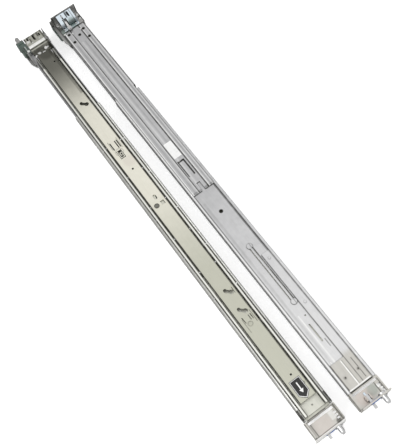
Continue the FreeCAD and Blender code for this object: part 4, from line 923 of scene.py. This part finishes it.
class RAIL_OT_heads(bpy.types.Operator):
    """Set the small rivets and screws of the end covers and arms"""

    bl_idname = "rail.heads"
    bl_label = "Rivets and screws"

    def execute(self, context):
        sizes = context.scene.rail_fittings
        tree = domes_tree()
        for side in SIDES:
            for name, places, rise, share, finish, slot in HEADS:
                name = side + "_" + name
                base = bpy.data.meshes.new(name + "_points")
                base.from_pydata([RAILS[side].at(x, y, rise, rear=True) for x, y in places],
                                 [], [])
                data = grow(name, tree, base, {"Width": sizes.head_width * share[0],
                                               "Height": sizes.head_height * share[1],
                                               "Material": bpy.data.materials[finish]})
                mesh_piece(name, data, finish, side + "_arm")
            name = side + "_cover_backing"
            backing = slab(name, RAILS[side], BACKING_OUTLINE, BACKING_RISE,
                           BACKING_THICKNESS, rear=True)
            mesh_piece(name, backing, "near-black steel", side + "_arm")
        return {"FINISHED"}


class RAIL_OT_dimples(bpy.types.Operator):
    """Crimp dimples in an even row along each bead of the outer channels"""

    bl_idname = "rail.dimples"
    bl_label = "Crimp dimples"

    def execute(self, context):
        sizes = context.scene.rail_fittings
        tree = dimple_row_tree()
        start, end = DIMPLE_ROW
        pitch = (end - start) / (sizes.dimple_count - 1)
        for side in SIDES:
            finish = side + " outer channel"
            for label, y in BEADS:
                name = side + "_" + label + "_dimples"
                data = grow(name, tree, bpy.data.meshes.new("dimples"), {
                    "Count": sizes.dimple_count,
                    "First": RAILS[side].at(start, y, BEAD_RISE),
                    "Step": Vector((pitch * MM, 0.0, 0.0)),
                    "Width": sizes.dimple_width, "Height": sizes.dimple_height,
                    "Material": bpy.data.materials[finish]})
                mesh_piece(name, data, finish, "rails")
        return {"FINISHED"}


class RAIL_OT_stage(bpy.types.Operator):
    """Lay the floor, light the room and place the camera"""

    bl_idname = "rail.stage"
    bl_label = "Studio"

    def execute(self, context):
        studio = context.scene.rail_studio
        self.floor(studio)
        self.world(context.scene, studio)
        self.lamps(studio)
        self.camera(context.scene, studio)
        context.scene.view_settings.view_transform = "Standard"
        return {"FINISHED"}

    def floor(self, studio):
        half = studio.floor_size / 2
        data = bpy.data.meshes.new("floor")
        data.from_pydata([(-half, -half, 0), (half, -half, 0), (half, half, 0), (-half, half, 0)],
                         [], [(0, 1, 2, 3)])
        floor = new_object("floor", data)
        floor.location.z = CAD_BOX[0][2] - FLOOR_GAP
        material, tree, shader, place = start_material("pale floor")
        mottle = ramp(tree, noise(tree, place, 3.0), 0.3, 0.7)
        seen = add(tree, "ShaderNodeLightPath").outputs["Is Camera Ray"]
        fill(tree, shader, {
            "Base Color": mix_colour(tree, mottle, (0.94, 0.94, 0.94, 1), (0.96, 0.96, 0.96, 1)),
            "Roughness": 0.9, "Emission Color": WHITE,
            "Emission Strength": times(tree, seen, studio.floor_glow)})
        data.materials.append(material)

    def world(self, scene, studio):
        """White to the camera; on metal, bright overhead and darker low at the rear."""
        world = bpy.data.worlds.new("studio")
        scene.world = world
        world.use_nodes = True
        tree = world.node_tree
        tree.nodes.clear()
        direction = add(tree, "ShaderNodeTexCoord").outputs["Generated"]
        overhead = ramp(tree, part(tree, direction, "Z"), 0.0, 0.75, 0.45, 1.0)
        rearward = ramp(tree, part(tree, direction, "X"), -0.72, -0.5, 0.72, 1.0)
        path = add(tree, "ShaderNodeLightPath").outputs
        matt, shiny, white = (
            add(tree, "ShaderNodeBackground", {"Color": WHITE, "Strength": power}).outputs[0]
            for power in (studio.sky, times(tree, overhead, rearward), 1.0))
        room = add(tree, "ShaderNodeMixShader", {0: path["Is Glossy Ray"], 1: matt, 2: shiny})
        shown = add(tree, "ShaderNodeMixShader", {0: path["Is Camera Ray"],
                                                  1: room.outputs[0], 2: white})
        add(tree, "ShaderNodeOutputWorld", {"Surface": shown.outputs[0]})

    def lamps(self, studio):
        """One soft key over the front and one weak fill from the other side."""
        for name, place, size, share in LAMPS:
            data = bpy.data.lights.new(name, "AREA")
            data.shape = "DISK"
            data.size = size
            data.energy = studio.key * share
            lamp = new_object(name, data)
            lamp.location = place
            lamp.rotation_euler = (-lamp.location).to_track_quat("-Z", "Y").to_euler()

    def camera(self, scene, studio):
        azimuth, elevation = studio.azimuth, studio.elevation
        forward = Vector((-math.sin(azimuth) * math.cos(elevation),
                          math.cos(azimuth) * math.cos(elevation), -math.sin(elevation)))
        level = forward.cross(Vector((0, 0, 1))).normalized()
        above = level.cross(forward)
        right = level * math.cos(studio.roll) + above * math.sin(studio.roll)
        up = right.cross(forward)
        place = Vector(studio.aim) - forward * studio.distance
        data = bpy.data.cameras.new("camera")
        data.sensor_fit = "HORIZONTAL"
        data.sensor_width = 36.0
        data.lens = studio.lens
        camera = new_object("camera", data)
        axes = Matrix((right, up, -forward)).transposed().to_4x4()
        camera.matrix_world = Matrix.Translation(place) @ axes
        scene.camera = camera


OPERATORS = (RAIL_OT_finishes, RAIL_OT_labels, RAIL_OT_heads, RAIL_OT_dimples, RAIL_OT_stage)


class RAIL_PT_panel(bpy.types.Panel):
    """Lists the rail tools"""

    bl_idname = "RAIL_PT_panel"
    bl_label = "Server Rails"
    bl_space_type = "VIEW_3D"
    bl_region_type = "UI"
    bl_category = "Server Rails"

    def draw(self, context):
        for operator in OPERATORS:
            self.layout.operator(operator.bl_idname)
        for group in ("rail_finish", "rail_fittings", "rail_studio"):
            box = self.layout.box()
            settings = getattr(context.scene, group)
            for name in settings.bl_rna.properties.keys():
                if name not in ("rna_type", "name"):
                    box.prop(settings, name)


CLASSES = (FinishSettings, FittingSettings, StudioSettings) + OPERATORS + (RAIL_PT_panel,)


def register():
    for one in CLASSES:
        bpy.utils.register_class(one)
    bpy.types.Scene.rail_finish = PointerProperty(type=FinishSettings)
    bpy.types.Scene.rail_fittings = PointerProperty(type=FittingSettings)
    bpy.types.Scene.rail_studio = PointerProperty(type=StudioSettings)


def unregister():
    del bpy.types.Scene.rail_studio
    del bpy.types.Scene.rail_fittings
    del bpy.types.Scene.rail_finish
    for one in reversed(CLASSES):
        bpy.utils.unregister_class(one)


def main():
    register()
    for step in ("finishes", "labels", "heads", "dimples", "stage"):
        getattr(bpy.ops.rail, step)()


if __name__ == "__main__":
    main()
